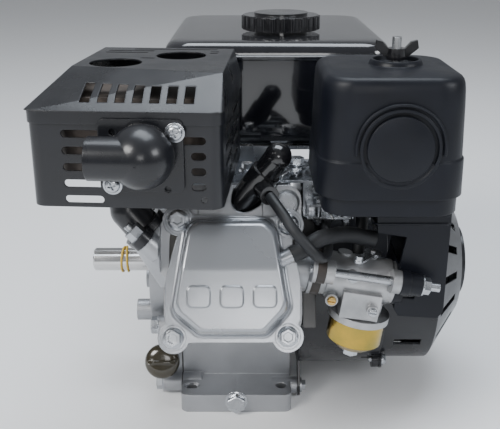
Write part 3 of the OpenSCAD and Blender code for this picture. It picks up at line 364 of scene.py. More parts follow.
def mix_finishes():
    """Every finish on the engine, by the record's slot name."""
    colours = bpy.context.scene.engine_finishes
    for build in (tone_drift, edge_rub, grain_height, settled_dust):
        group = build()
        GROUPS[group.name] = group
    cast, silver = tuple(colours.cast), tuple(colours.silver)
    zinc, ground = tuple(colours.zinc), tuple(colours.ground)
    enamel, tank = tuple(colours.enamel), tuple(colours.tank)
    plastic, rubber = tuple(colours.plastic), tuple(colours.rubber)
    finish(
        "cast_aluminium", cast, shade(cast, 0.88), rough=0.4, metallic=0.82, scale=22, grain=1100,
        bump=0.22, swell=0.5, rub=0.5, rub_colour=(0.8, 0.81, 0.82), rub_width=1.2,
    )
    finish(
        "cover_silver", silver, shade(silver, 0.94), rough=0.25, rough_swing=0.05, metallic=0.7, scale=14,
        grain=1500, bump=0.07, swell=0.4, rub=0.25, rub_colour=(0.7, 0.71, 0.73), coat=0.25,
        coat_rough=0.15,
    )
    finish("cast_iron", (0.23, 0.23, 0.24), rough=0.45, metallic=0.8, scale=60, bump=0.15)
    finish(
        "gasket", (0.055, 0.055, 0.052), (0.085, 0.08, 0.075), rough=0.8, scale=200, grain=2600, bump=0.3,
    )
    finish(
        "zinc_steel", zinc, shade(zinc, 0.84), rough=0.28, rough_swing=0.1, metallic=0.95, scale=90,
        grain=1500, bump=0.03, rub=0.25, rub_colour=(0.7, 0.71, 0.73), rub_width=0.5,
    )
    finish("bright_steel", (0.56, 0.57, 0.58), rough=0.25, metallic=1.0, scale=60, bump=0.05, rub_width=0.5)
    finish(
        "shaft_steel", ground, shade(ground, 0.9), rough=0.2, rough_swing=0.06, metallic=1.0, scale=26,
        grain=2200, bump=0.03, swell=0.1, rub_width=0.5,
    )
    finish(
        "black_rubber", rubber, shade(rubber, 1.7), rough=0.5, scale=70, grain=1800, bump=0.12, dust=0.04,
        ior=1.42,
    )
    finish(
        "glossy_black", (0.008, 0.008, 0.0095), (0.012, 0.012, 0.014), rough=0.16, rough_swing=0.05,
        scale=50, grain=700, bump=0.03, coat=0.5, coat_rough=0.05, rub_width=0.8, dust=0.04,
    )
    finish(
        "black_enamel", enamel, shade(enamel, 1.4), rough=0.3, rough_swing=0.06, scale=30, grain=620,
        swell=0.35, bump=0.06, rub=0.16, rub_colour=(0.13, 0.13, 0.14), rub_width=1.3, coat=0.2,
        coat_rough=0.16, dust=0.04, ior=1.42,
    )
    finish(
        "muffler_steel", (0.1, 0.093, 0.09), (0.17, 0.14, 0.12), rough=0.5, metallic=0.6, scale=26,
        bump=0.12,
    )
    finish(
        "tank_black", tank, shade(tank, 1.5), rough=0.1, rough_swing=0.03, scale=18, grain=330, swell=0.5,
        bump=0.02, coat=0.8, coat_rough=0.03, rub_width=1.6, dust=0.05,
    )
    finish(
        "black_plastic", plastic, shade(plastic, 1.35), rough=0.4, rough_swing=0.05, scale=40, grain=2400,
        bump=0.1, swell=0.3, rub=0.1, rub_colour=(0.08, 0.09, 0.11), rub_width=1.2, dust=0.015, ior=1.34,
    )
    finish(
        "filter_media", (0.42, 0.31, 0.15), (0.5, 0.4, 0.22), rough=0.85, scale=120, grain=2600, bump=0.3,
    )
    finish(
        "carb_cast", (0.46, 0.46, 0.47), (0.33, 0.34, 0.35), rough=0.36, metallic=0.75, scale=60,
        grain=1500, bump=0.25, rub=0.4, rub_colour=(0.75, 0.75, 0.75), rub_width=0.7,
    )
    gold = tuple(colours.chromate)
    finish(
        "gold_zinc", gold, (0.26, 0.22, 0.06), rough=0.2, rough_swing=0.07, metallic=1.0, scale=46,
        speck=0.3, grain=1500, bump=0.06, rub_width=0.8,
    )
    finish(
        "phenolic", (0.02, 0.016, 0.014), (0.032, 0.024, 0.02), rough=0.5, scale=130, grain=2000, bump=0.12,
    )
    cap = tuple(colours.cap)
    finish(
        "cap_olive", cap, shade(cap, 0.6), rough=0.17, scale=60, grain=900, bump=0.03, coat=0.6,
        coat_rough=0.05,
    )
    band = tuple(colours.band)
    finish("band_yellow", band, shade(band, 0.75), rough=0.45, scale=160, grain=1800, bump=0.1)
    finish(
        "brass", (0.68, 0.46, 0.16), (0.5, 0.33, 0.12), rough=0.25, metallic=1.0, scale=90, bump=0.06,
        rub_width=0.5,
    )
    finish(
        "copper", (0.75, 0.36, 0.2), (0.5, 0.25, 0.14), rough=0.3, metallic=1.0, scale=90, bump=0.06,
        rub_width=0.4,
    )


NODE_FINISH = {
    "cast_aluminium": [
        "crankcase", "crankcase_cover", "cylinder_head", "connecting_rod", "piston", "flywheel",
    ],
    "cast_iron": ["cylinder_sleeve"],
    "cover_silver": ["valve_cover"],
    "gasket": ["gaskets"],
    "zinc_steel": [
        "cover_bolts", "drain_bolt", "head_bolts", "valve_cover_bolts", "spark_plug", "exhaust_nuts",
        "deflector_screws", "tank_bracket", "bowl_bolt", "intake_studs", "control_bracket",
        "control_bolts", "shroud_bolts", "control_lever", "choke_lever",
    ],
    "bright_steel": [
        "crank_bearings", "valves", "rocker_arms", "pushrods", "air_stud", "wrist_pin", "crank_pin",
        "starter_cup", "camshaft",
    ],
    "shaft_steel": ["crankshaft"],
    "black_rubber": ["oil_seals", "ignition_lead", "breather_tube", "fuel_hose"],
    "glossy_black": ["plug_cap", "starter_grip", "fuel_cap", "wing_nut"],
    "black_enamel": [
        "exhaust_pipe", "shroud_upper", "shroud_lower", "exhaust_deflector", "blower_housing",
        "recoil_case",
    ],
    "muffler_steel": ["muffler_body"],
    "tank_black": ["fuel_tank"],
    "black_plastic": ["air_duct", "air_cleaner_cover", "recoil_reel", "fuel_valve_lever"],
    "filter_media": ["air_filter"],
    "carb_cast": ["carburetor_body"],
    "gold_zinc": ["float_bowl"],
    "phenolic": ["insulator", "ignition_coil"],
    "cap_olive": ["dipstick"],
}


# ---- modelling steps used by many pieces ----
def clear():
    """Leaves edit mode, with nothing selected."""
    if bpy.context.object and bpy.context.object.mode != "OBJECT":
        bpy.ops.object.mode_set(mode="OBJECT")
    bpy.ops.object.select_all(action="DESELECT")


def only(piece):
    """Selects one piece alone and makes it active."""
    clear()
    piece.select_set(True)
    bpy.context.view_layer.objects.active = piece
    return piece


def called(name):
    """Names the piece just added."""
    piece = bpy.context.object
    piece.name = piece.data.name = name
    return piece


def block(name, low, high):
    """A cube pulled out to two corners, in millimetres."""
    clear()
    bpy.ops.mesh.primitive_cube_add(size=1, location=(Vector(low) + Vector(high)) * 0.5 * MM)
    piece = called(name)
    piece.scale = (Vector(high) - Vector(low)) * MM
    bpy.ops.object.transform_apply(location=True, rotation=True, scale=True)
    return piece


def round_bar(name, radius, z0, z1, sides=40, x=0, y=0):
    """An upright cylinder between two heights, in millimetres."""
    clear()
    bpy.ops.mesh.primitive_cylinder_add(
        vertices=sides, radius=radius * MM, depth=(z1 - z0) * MM,
        location=Vector((x, y, (z0 + z1) / 2)) * MM,
    )
    piece = called(name)
    bpy.ops.object.transform_apply(location=True, rotation=True, scale=True)
    return piece


def pick(piece, kind, test):
    """Edit mode with only what passes the test selected."""
    only(piece)
    bpy.ops.object.mode_set(mode="EDIT")
    bpy.ops.mesh.select_mode(type=kind)
    bpy.ops.mesh.select_all(action="DESELECT")
    bm = bmesh.from_edit_mesh(piece.data)
    for el in {"FACE": bm.faces, "EDGE": bm.edges, "VERT": bm.verts}[kind]:
        if test(el):
            el.select_set(True)
    bm.select_flush_mode()
    bmesh.update_edit_mesh(piece.data)


def faces_up(f):
    """Whether a face looks straight up."""
    return f.normal.z > 0.9


def faces_down(f):
    """Whether a face looks straight down."""
    return f.normal.z < -0.9


def upright(e):
    """Whether an edge stands upright."""
    d = (e.verts[1].co - e.verts[0].co).normalized()
    return abs(d.z) > 0.99


def bevel_picked(width, segments=3):
    """Rounds the picked edges and leaves edit mode."""
    bpy.ops.mesh.bevel(offset=width * MM, segments=segments, affect="EDGES", clamp_overlap=True)
    bpy.ops.object.mode_set(mode="OBJECT")


def climb(piece, rings, centre, half):
    """Extrudes the top face ring by ring: each ring is (rise, pull in) in millimetres."""
    pick(piece, "FACE", faces_up)
    w = [half[0], half[1]]
    z = max(v.co.z for v in piece.data.vertices)
    for rise, pull in rings:
        bpy.ops.mesh.extrude_region_move(TRANSFORM_OT_translate={"value": (0, 0, rise * MM)})
        z += rise * MM
        s = [(w[0] - pull) / w[0], (w[1] - pull) / w[1]]
        w = [w[0] - pull, w[1] - pull]
        bpy.ops.transform.resize(value=(s[0], s[1], 1), center_override=(centre[0] * MM, centre[1] * MM, z))
    bpy.ops.object.mode_set(mode="OBJECT")


def apply_modifier(piece, kind, **settings):
    """Adds a modifier with these settings and applies it."""
    only(piece)
    m = piece.modifiers.new(kind.title(), kind)
    for k, v in settings.items():
        setattr(m, k, v)
    bpy.ops.object.modifier_apply(modifier=m.name)
    return piece


def weld_on(piece, other, how="UNION"):
    """Joins or cuts another solid into this one."""
    apply_modifier(piece, "BOOLEAN", operation=how, object=other, solver="EXACT")
    bpy.data.objects.remove(other)
    return piece


def gather(piece, *others):
    """Joins other pieces to this one without cutting them."""
    only(piece)
    for x in others:
        x.select_set(True)
    bpy.ops.object.join()
    return bpy.context.object


def moved(piece, matrix):
    """Moves a piece and applies the move to its mesh."""
    only(piece)
    piece.matrix_world = matrix @ piece.matrix_world
    bpy.ops.object.transform_apply(location=True, rotation=True, scale=True)
    return piece


def twin(piece, name, matrix=None):
    """A copy with its own mesh."""
    c = piece.copy()
    c.data = piece.data.copy()
    c.name = c.data.name = name
    bpy.context.collection.objects.link(c)
    return moved(c, matrix) if matrix else c


def done(piece, slot, body="engine", place=None, stands_for=(), look=None, angle=35):
    """Puts a finished piece in place with its finish and its body; the slot names the finish unless a look
    is given.
    """
    if place:
        moved(piece, place)
    only(piece)
    bpy.ops.object.shade_smooth_by_angle(angle=math.radians(angle))
    piece.data.materials.clear()
    piece.data.materials.append(FINISHES[look or slot])
    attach(piece, body)
    if stands_for:
        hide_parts(*stands_for)
    return piece


def tube(name, points, radius, sides=None, closed=False):
    """A round tube along a smooth line through points, in millimetres."""
    clear()
    bpy.ops.curve.primitive_bezier_curve_add()
    piece = called(name)
    curve = piece.data
    curve.splines.clear()
    line = curve.splines.new("BEZIER")
    line.bezier_points.add(len(points) - 1)
    for knot, point in zip(line.bezier_points, points):
        knot.co = Vector(point) * MM
        knot.handle_left_type = knot.handle_right_type = "AUTO"
    line.resolution_u = 10
    line.use_cyclic_u = closed
    curve.dimensions = "3D"
    curve.bevel_depth = radius * MM
    curve.bevel_resolution = max(1, (sides or bpy.context.scene.engine_sizes.tube_sides) // 4 - 1)
    curve.use_fill_caps = not closed
    piece.location = (0, 0, 0)
    only(piece)
    bpy.ops.object.convert(target="MESH")
    piece = called(name)
    bpy.ops.object.transform_apply(location=True, rotation=True, scale=True)
    return piece


def hex_head(name, across, height, flange=0):
    """A hex head with a chamfered, dished top, on a coned flange if it has one."""
    corner = across / 2 / math.cos(math.radians(30))
    piece = round_bar(name, corner, 1.0 if flange else 0, height, 6)
    pick(piece, "FACE", faces_up)
    bpy.ops.mesh.inset(thickness=0.0006)
    bpy.ops.object.mode_set(mode="OBJECT")
    top = height * MM
    pick(piece, "VERT", lambda v: v.co.z > top - 1e-6 and math.hypot(v.co.x, v.co.y) > corner * MM * 0.97)
    bpy.ops.transform.translate(value=(0, 0, -0.0005))
    bpy.ops.object.mode_set(mode="OBJECT")
    pick(piece, "FACE", lambda f: f.normal.z > 0.98)
    bpy.ops.mesh.inset(thickness=across * 0.13 * MM)
    bpy.ops.mesh.inset(thickness=across * 0.05 * MM, depth=-0.0004)
    bpy.ops.object.mode_set(mode="OBJECT")
    if flange:
        f = round_bar(name + "_flange", flange, 0, 0.8, 36)
        climb(f, [(1.1, flange - across * 0.56)], (0, 0), (flange, flange))
        piece = gather(piece, f)
    return piece


def thread(name, radius, z0, z1, pitch=1.0):
    """A bolt end with rings for its thread and a chamfer."""
    piece = round_bar(name, radius, z0, z0 + pitch / 2, 20)
    rings, r = [], radius
    turns = int((z1 - z0) / pitch) - 1
    for k in range(turns):
        rings += [(pitch / 2, 0.28), (pitch / 2, -0.28)]
    rings += [(0.5, 0.8)]
    climb(piece, rings, (0, 0), (r, r))
    return piece


# ---- pieces ----
class ENGINE_OT_finishes(bpy.types.Operator):
    """Mix the finishes and put them on the CAD pieces"""
    bl_idname = "engine.finishes"
    bl_label = "Finishes"

    def execute(self, context):
        mix_finishes()
        for slot, nodes in NODE_FINISH.items():
            for node in nodes:
                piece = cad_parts[node]
                if not piece.material_slots:
                    piece.data.materials.append(FINISHES[slot])
                for s in piece.material_slots:
                    s.material = FINISHES[slot]
        return {"FINISHED"}


DOME = [
    (-33, 18), (-26, 23), (24, 23), (31.5, 16), (40.5, -38), (38, -43), (24, -58), (-23, -58), (-39, -45),
    (-42, -39),
]
FLANGE = [
    (-31, 24), (31, 22.5), (39.5, 9), (45, -20), (45, -47), (32, -60), (24, -60.5), (-24, -60.5),
    (-34, -61), (-45, -48), (-45, -20), (-37.5, 9),
]


def outline(name, points, z, rounding):
    """A flat face with rounded corners at a height, facing up."""
    clear()
    bpy.ops.mesh.primitive_circle_add(
        vertices=len(points), radius=0.03, fill_type="NGON", location=(0, 0, z * MM),
    )
    piece = called(name)
    bpy.ops.object.transform_apply(location=True, rotation=True, scale=True)
    for v, (x, y) in zip(piece.data.vertices, points):
        v.co.x, v.co.y = x * MM, y * MM
    only(piece)
    bpy.ops.object.mode_set(mode="EDIT")
    bpy.ops.mesh.select_all(action="SELECT")
    bpy.ops.mesh.bevel(offset=rounding * MM, segments=6, affect="VERTICES", clamp_overlap=True)
    bpy.ops.object.mode_set(mode="OBJECT")
    if piece.data.polygons[0].normal.z < 0:
        piece.data.flip_normals()
    return piece


class ENGINE_OT_valve_cover(bpy.types.Operator):
    """Pressed valve cover: wide flange, soft dome, three raised pads and the breather stub"""
    bl_idname = "engine.valve_cover"
    bl_label = "Valve cover"

    def execute(self, context):
        z = COVER_FACE
        flange = outline("valve_cover_skin", FLANGE, z, 6)
        climb(flange, [(3, 0)], (0, COVER_SHIFT), (42, 42))
        for k, (x, y) in enumerate(COVER_BOLTS):
            ear = round_bar(f"ear_{k}", 10.5, z, z + 3, 40, x, y + COVER_SHIFT)
            weld_on(flange, ear)
            boss = round_bar(f"boss_{k}", 8.4, z + 1, z + 3.4, 40, x, y + COVER_SHIFT)
            weld_on(flange, boss)
        only(flange)
        bpy.ops.object.mode_set(mode="EDIT")
        bpy.ops.mesh.select_all(action="SELECT")
        bpy.ops.mesh.dissolve_limited(angle_limit=0.01)
        bpy.ops.object.mode_set(mode="OBJECT")
        apply_modifier(
            flange, "BEVEL", width=0.0009, segments=3, limit_method="ANGLE", angle_limit=math.radians(50),
        )

        dome = outline("dome", DOME, z + 2.6, 9.5)
        rings = [
            (0.5, 1.2), (0.8, 0.9), (2, 0.5), (6, 0.8), (8, 1.0), (3.5, 0.8), (1.8, 1.0), (0.9, 1.0),
            (0.35, 1.1),
        ]
        scale = (context.scene.engine_sizes.dome_height / MM - 2.6) / sum(r for r, _ in rings)
        climb(dome, [(r * scale, p) for r, p in rings], (-0.5, COVER_SHIFT + 1.5), (42, 42))
        # a crease above the middle, and an upper part that falls away
        crease = -11
        for y in (crease - 3, crease - 1, crease + 1, crease + 3):
            pick(dome, "FACE", lambda f: True)
            bpy.ops.mesh.bisect(plane_co=(0, y * MM, 0), plane_no=(0, 1, 0))
            bpy.ops.object.mode_set(mode="OBJECT")
        foot = (z + 4) * MM
        for v in dome.data.vertices:
            past = v.co.y / MM - crease
            fall = past if past > 3 else max(0, past + 3) ** 2 / 12
            if v.co.z > foot:
                v.co.z = foot + (v.co.z - foot) * (1 - 0.3 * fall / 34)

        pads = []
        for k, x in enumerate((-21, 0, 21)):
            pad = block(f"pad_{k}", (x - 7.5, -37, z + 22), (x + 7.5, -23, z + 27.2))
            pick(pad, "EDGE", upright)
            bevel_picked(3.4, 5)
            climb(pad, [(0.6, 0.25), (0.45, 0.7)], (x, -30), (7.5, 7))
            pads.append(pad)
        stub = round_bar("stub", 5, 0, 24, 28)
        climb(stub, [(0.01, 0.5)], (0, 0), (5, 5))
        moved(stub, at(*STUB_ROOT) @ about("Z", STUB_TURN) @ about("Y", 90))
        cover = gather(flange, dome, *pads, stub)
        cover.name = cover.data.name = "valve_cover_skin"
        done(cover, "cover_silver", place=BARREL, stands_for=["valve_cover"], angle=40)
        apply_modifier(cover, "WEIGHTED_NORMAL", keep_sharp=True)
        return {"FINISHED"}


class ENGINE_OT_fasteners(bpy.types.Operator):
    """Flange bolts, nuts and studs with chamfered, dished heads"""
    bl_idname = "engine.fasteners"
    bl_label = "Fasteners"

    def execute(self, context):
        small = hex_head("cover_screw", 10, 6, 7)
        for k, (x, y) in enumerate(COVER_BOLTS):
            c = twin(small, f"valve_cover_bolt_{k}", BARREL @ at(x, y + COVER_SHIFT, COVER_FACE + 3.35))
            done(c, "zinc_steel", stands_for=["valve_cover_bolts"])
        big = hex_head("case_screw", 12, 7, 8.2)
        for k, (y, z) in enumerate(CASE_BOLTS):
            done(
                twin(big, f"cover_bolt_{k}", at(-62, y, z) @ about("Y", -90)), "zinc_steel",
                stands_for=["cover_bolts"],
            )
        plug = hex_head("drain", 14, 7, 9.5)
        done(
            twin(plug, "drain_plug", at(0, -96, 10.5) @ about("X", 90)), "zinc_steel",
            stands_for=["drain_bolt"],
        )
        nut = hex_head("nut", 11, 7, 0)
        for k, s in enumerate((-19, 19)):
            done(
                twin(nut, f"exhaust_nut_{k}", PORT @ at(0, s, 22)), "zinc_steel",
                stands_for=["exhaust_nuts"],
            )
            stud = thread(f"exhaust_stud_{k}", 3, 6, 33)
            done(stud, "zinc_steel", place=PORT @ at(0, s, 0))
        bowl = hex_head("bowl", 10, 5.5, 0)
        done(
            twin(bowl, "bowl_nut", INTAKE @ at(43, 0, -54) @ about("X", 180)), "zinc_steel",
            stands_for=["bowl_bolt"],
        )
        washer = round_bar("bowl_washer", 6.6, -54.2, -53, 36, 43, 0)
        pick(washer, "FACE", faces_down)
        bpy.ops.mesh.inset(thickness=0.0008, depth=0.0003)
        bpy.ops.object.mode_set(mode="OBJECT")
        done(washer, "zinc_steel", place=INTAKE, look="copper")
        for piece in (small, big, plug, nut, bowl):
            bpy.data.objects.remove(piece)
        return {"FINISHED"}


class ENGINE_OT_deflector_screws(bpy.types.Operator):
    """Two domed cross-head screws on the exhaust deflector"""
    bl_idname = "engine.deflector_screws"
    bl_label = "Deflector screws"

    def execute(self, context):
        head = round_bar("screw", 4.7, 0, 1.0, 36)
        climb(head, [(0.9, 0.3), (0.7, 0.7), (0.5, 1.1)], (0, 0), (4.7, 4.7))
        for k, turn in enumerate((20, 110)):
            cut = block(f"cut_{k}", (-2.5, -0.6, 1.5), (2.5, 0.6, 5))
            moved(cut, about("Z", turn))
            weld_on(head, cut, "DIFFERENCE")
        washer = round_bar("washer", 6, -0.5, 0.3, 36)
        pick(washer, "FACE", faces_up)
        bpy.ops.mesh.inset(thickness=0.0006, depth=0.0002)
        bpy.ops.object.mode_set(mode="OBJECT")
        head = gather(head, washer)
        for k, (x, z) in enumerate(((31.2, 268.5), (-7.6, 235.5))):
            done(
                twin(head, f"deflector_screw_{k}", MUFFLER @ at(x, -66.9, z) @ about("X", 90)),
                "zinc_steel", stands_for=["deflector_screws"],
            )
        bpy.data.objects.remove(head)
        return {"FINISHED"}


class ENGINE_OT_air_cleaner(bpy.types.Operator):
    """Moulded air cleaner cover: rounded box, step line, arch and disc, dished boss"""
    bl_idname = "engine.air_cleaner"
    bl_label = "Air cleaner cover"

    def execute(self, context):
        x, y = CLEANER_MIDDLE
        half_x, half_y = CLEANER_HALF
        low = (x - half_x, y - half_y, CLEANER_RIM)
        body = block("air_cleaner_skin", low, (x + half_x, y + half_y, CLEANER_RIM + 1))
        pick(body, "EDGE", upright)
        bevel_picked(20, 9)
        rings = [
            (3, 0.1), (18, 0.25), (1.0, 0.15), (0.8, 0.8), (1.0, 0.0), (30, 0.8), (10, 0.5), (4, 0.5),
            (2.4, 0.8), (1.5, 1.1), (0.9, 1.4), (0.4, 1.7),
        ]
        climb(body, rings, (x, y), CLEANER_HALF)
        top = max(v.co.z for v in body.data.vertices) / MM
        boss = round_bar("boss", 17.5, top - 4, top - 0.2, 48, *CLEANER_BOSS)
        climb(boss, [(2.9, 1.1), (0.5, 0.6)], CLEANER_BOSS, (17.5, 17.5))
        pick(boss, "FACE", faces_up)
        bpy.ops.mesh.inset(thickness=0.0012)
        bpy.ops.mesh.inset(thickness=0.0008, depth=-0.0037)
        bpy.ops.mesh.inset(thickness=0.0042)
        bpy.ops.mesh.inset(thickness=0.0006, depth=0.0014)
        bpy.ops.object.mode_set(mode="OBJECT")
        pick(body, "FACE", faces_down)
        bpy.ops.mesh.delete(type="FACE")
        bpy.ops.object.mode_set(mode="OBJECT")
        apply_modifier(body, "SOLIDIFY", thickness=context.scene.engine_sizes.cover_wall, offset=-1)
        # disc and arch stand on the front, which leans back a little
        disc = round_bar("disc", 20.3, 0, 1.2, 72)
        climb(disc, [(0.45, 0.25), (0.25, 0.7), (0.05, 14)], (0, 0), (20.3, 20.3))
        lip = round_bar("lip", 24.6, 0, 0.9, 72)
        climb(lip, [(0.3, 0.3)], (0, 0), (24.6, 24.6))
        hole = round_bar("hole", 22.6, -1, 3, 72)
        weld_on(lip, hole, "DIFFERENCE")
        arch = tube(
            "arch",
            [
                (-26.6, -4, 0.4), (-26.4, 4, 0.4), (-22.5, 15, 0.4), (-13.5, 23.4, 0.4), (0, 26.8, 0.4),
                (13.5, 23.4, 0.4), (22.5, 15, 0.4), (26.4, 4, 0.4), (26.6, -4, 0.4),
            ],
            0.95, 12,
        )
        lean = at(101.5, y - 49.35, 257) @ about("X", 90.6)
        for piece in (disc, lip, arch):
            moved(piece, lean)
        cover = gather(body, boss, disc, lip, arch)
        done(cover, "black_plastic", body="cleaner_cover", stands_for=["air_cleaner_cover"], angle=32)
        return {"FINISHED"}


class ENGINE_OT_tank(bpy.types.Operator):
    """Pressed fuel tank: two halves, rolled seam, filler neck"""
    bl_idname = "engine.tank"
    bl_label = "Fuel tank"

    def execute(self, context):
        (x0, x1), (y0, y1) = TANK_X, TANK_Y
        cx, cy, hx, hy = (x0 + x1) / 2, (y0 + y1) / 2, (x1 - x0) / 2, (y1 - y0) / 2
        tank = block("tank_skin", (x0 + 9, y0 + 9, TANK_FLOOR), (x1 - 9, y1 - 9, TANK_FLOOR + 0.4))
        pick(tank, "EDGE", upright)
        bevel_picked(16, 9)
        lower = [(0.5, -3), (1.1, -2.6), (1.8, -1.9), (2.6, -1.1), (4, -0.4), (58, 0)]
        seam = [(0.4, -1.6), (0.5, -0.7), (2.2, 0), (0.5, 0.7), (0.4, 1.6)]
        upper = [(2, 0.3), (2.6, 1), (2, 1.4), (1.5, 2), (0.9, 2.6), (0.5, 3.4), (0.2, 5)]
        climb(tank, lower + seam + upper, (cx, cy), (hx - 9, hy - 9))
        neck = round_bar("neck", 21.5, 296, 307.2, 56, *NECK)
        climb(neck, [(0.5, 0.4), (0.3, 0.6)], NECK, (21.5, 21.5))
        weld_on(tank, neck)
        cavity = block("cavity", (x0 + 8, y0 + 8, 222), (x1 - 8, y1 - 8, 296))
        pick(cavity, "EDGE", upright)
        bevel_picked(16, 6)
        weld_on(cavity, round_bar("bore", 19.6, 290, 320, 56, *NECK))
        weld_on(tank, cavity, "DIFFERENCE")
        done(tank, "tank_black", stands_for=["fuel_tank"], angle=30)
        return {"FINISHED"}


def barrel_point(x, s, a):
    """A point given across, above and out along the leaning barrel, in millimetres."""
    t = math.radians(BARREL_RISE)
    return (x, CRANK_Y + s * math.sin(t) - a * math.cos(t), CRANK_Z + s * math.cos(t) + a * math.sin(t))


class ENGINE_OT_hoses(bpy.types.Operator):
    """Ignition lead, breather tube and fuel hose along their CAD routes"""
    bl_idname = "engine.hoses"
    bl_label = "Leads and hoses"

    def execute(self, context):
        lead = [
            (24.5, -166, 214), (33, -180, 206), (40.5, -190, 197.5), (49, -193, 188.5), (54.5, -192, 182),
            (59, -186.5, 178), (63, -175, 177.6), (65, -155, 178.3), (66, -130, 178.3), (68.5, -108, 176),
            barrel_point(70, 33, 86), barrel_point(70, 27, 82),
        ]
        done(
            tube("ignition_lead_cord", lead, LEAD_RADIUS), "black_rubber", stands_for=["ignition_lead"],
            angle=60,
        )
        c, s = math.cos(math.radians(STUB_TURN)), math.sin(math.radians(STUB_TURN))
        stub_x, stub_y, stub_z = STUB_ROOT
        pipe = [barrel_point(stub_x + out * c, stub_y + out * s, stub_z) for out in (14, 23)]
        pipe += [
            (57, -179, 188.3), (66, -173, 188.4), (78, -166, 186.5), (90, -161, 182.4), (97, -160, 181),
        ]
        done(
            tube("breather_tube_hose", pipe, BREATHER_RADIUS), "black_rubber", stands_for=["breather_tube"],
            angle=60,
        )
        hose = [
            (96, -30, 208.5), (96, -34, 203), (95, -50, 197), (94, -104, 190), (93, -122, 177),
            (90, -132, 162), (88, -139, 155),
        ]
        done(tube("fuel_hose_line", hose, HOSE_RADIUS), "black_rubber", stands_for=["fuel_hose"], angle=60)
        # wire clips where the hoses meet their stubs
        for k, (p, q, r) in enumerate(
            ((pipe[1], pipe[2], BREATHER_RADIUS + 0.5), (hose[1], hose[2], HOSE_RADIUS + 0.5))
        ):
            p, q = Vector(p), Vector(q)
            along = (q - p).normalized()
            spin = along.to_track_quat("Z", "Y").to_matrix().to_4x4()
            turns = [2 * math.pi * j / 14 for j in range(21)]
            ring = [(r * math.cos(a), r * math.sin(a), 1.6 * (a / (2 * math.pi))) for a in turns]
            clip = tube(f"hose_clip_{k}", ring, 0.7, 8)
            done(clip, "zinc_steel", place=Matrix.Translation((p + (q - p) * 0.12) * MM) @ spin, angle=60)
        return {"FINISHED"}


class ENGINE_OT_shaft_band(bpy.types.Operator):
    """Rubber band wound twice round the output shaft, crossing once"""
    bl_idname = "engine.shaft_band"
    bl_label = "Shaft band"

    def execute(self, context):
        points = []
        for k in range(48):
            t = 4 * math.pi * k / 48
            lift = 1.5 * math.exp(-((t - math.pi * 1.0) / 0.55) ** 2)
            r = 10.75 + lift
            a = t - math.pi / 2 - 0.5
            along = -97.5 + 2.6 * math.cos(t / 2)
            points.append((along, CRANK_Y + r * math.sin(a), CRANK_Z + r * math.cos(a)))
        band = tube("shaft_band", points, 0.95, 12, closed=True)
        done(band, "black_rubber", body="crank", look="band_yellow", angle=60)
        return {"FINISHED"}


class ENGINE_OT_oil_cap(bpy.types.Operator):
    """Oil filler cap with a domed top and a curved finger ridge, and its dipstick"""
    bl_idname = "engine.oil_cap"
    bl_label = "Oil cap"

    def execute(self, context):
        cap = round_bar("oil_cap", 13.4, 6.4, 7.2, 48)
        climb(
            cap, [(0.8, -1.1), (3.6, 0), (1.4, 0.5), (1.3, 1.1), (1.1, 1.9), (0.8, 2.6), (0.3, 3)], (0, 0),
            (13.4, 13.4),
        )
        ridge = block("ridge", (-11.5, -2.6, 11), (11.5, 2.6, 17.4))
        apply_modifier(ridge, "BEVEL", width=0.002, segments=5)
        pick(ridge, "VERT", lambda v: v.co.z > 0.0165)
        bpy.ops.transform.resize(value=(0.7, 0.62, 1), center_override=(0, 0, 0.017))
        bpy.ops.object.mode_set(mode="OBJECT")
        stem = round_bar("stem", 7.6, -14, 6.6, 32)
        climb(stem, [(0.01, 0.2)], (0, 0), (7.6, 7.6))
        stick = round_bar("stick", 2, -21, -13.9, 16)
        pick(stick, "FACE", faces_down)
        bpy.ops.mesh.inset(thickness=0.0006, depth=0.0006)
        bpy.ops.object.mode_set(mode="OBJECT")
        cap = gather(cap, ridge, stem, stick)
        cap.name = cap.data.name = "oil_cap"
        done(cap, "cap_olive", body="dipstick", place=DIPPER, stands_for=["dipstick"], angle=50)
        return {"FINISHED"}


class ENGINE_OT_linkage(bpy.types.Operator):
    """Governor rod and spring, the throttle rod and the small screws round the carburettor"""
    bl_idname = "engine.linkage"
    bl_label = "Linkage"

    def execute(self, context):
        coil, steps = [], 150
        for k in range(steps + 1):
            t = k / steps
            a = 2 * math.pi * 11 * t
            coil.append((2.3 * math.cos(a), 2.3 * math.sin(a), 26 * t))
        spring = tube("governor_spring", coil, 0.35, 8)
        done(spring, "zinc_steel", place=at(34, -121, 184), look="bright_steel", angle=60)
        rod = tube(
            "governor_rod", [(34, -121, 210), (34.5, -121, 213), (36, -118, 214), (40, -112, 214)], 0.8, 10,
        )
        done(rod, "zinc_steel", look="bright_steel", angle=60)
        link = tube(
            "throttle_rod",
            [(70, -143, 189), (68, -140, 191.5), (64, -132, 196), (62, -128, 197.8), (61, -124, 198.6)],
            0.9, 10,
        )
        done(link, "zinc_steel", look="bright_steel", angle=60)
        # carburettor screws: pilot screw, idle screw and drain screw
        for k, (spot, look) in enumerate(
            (((30, -17.2, 6), "zinc_steel"), ((19, -18, -12), "brass"), ((47, -23, -14), "zinc_steel"))
        ):
            s = round_bar(f"carb_screw_{k}", 3.1, 0, 1.2, 28)
            climb(s, [(0.7, 0.35), (0.4, 0.9)], (0, 0), (3.1, 3.1))
            weld_on(s, block("slit", (-4, -0.45, 1.4), (4, 0.45, 4)), "DIFFERENCE")
            done(s, "zinc_steel", place=INTAKE @ at(*spot) @ about("X", 90), look=look)
        return {"FINISHED"}


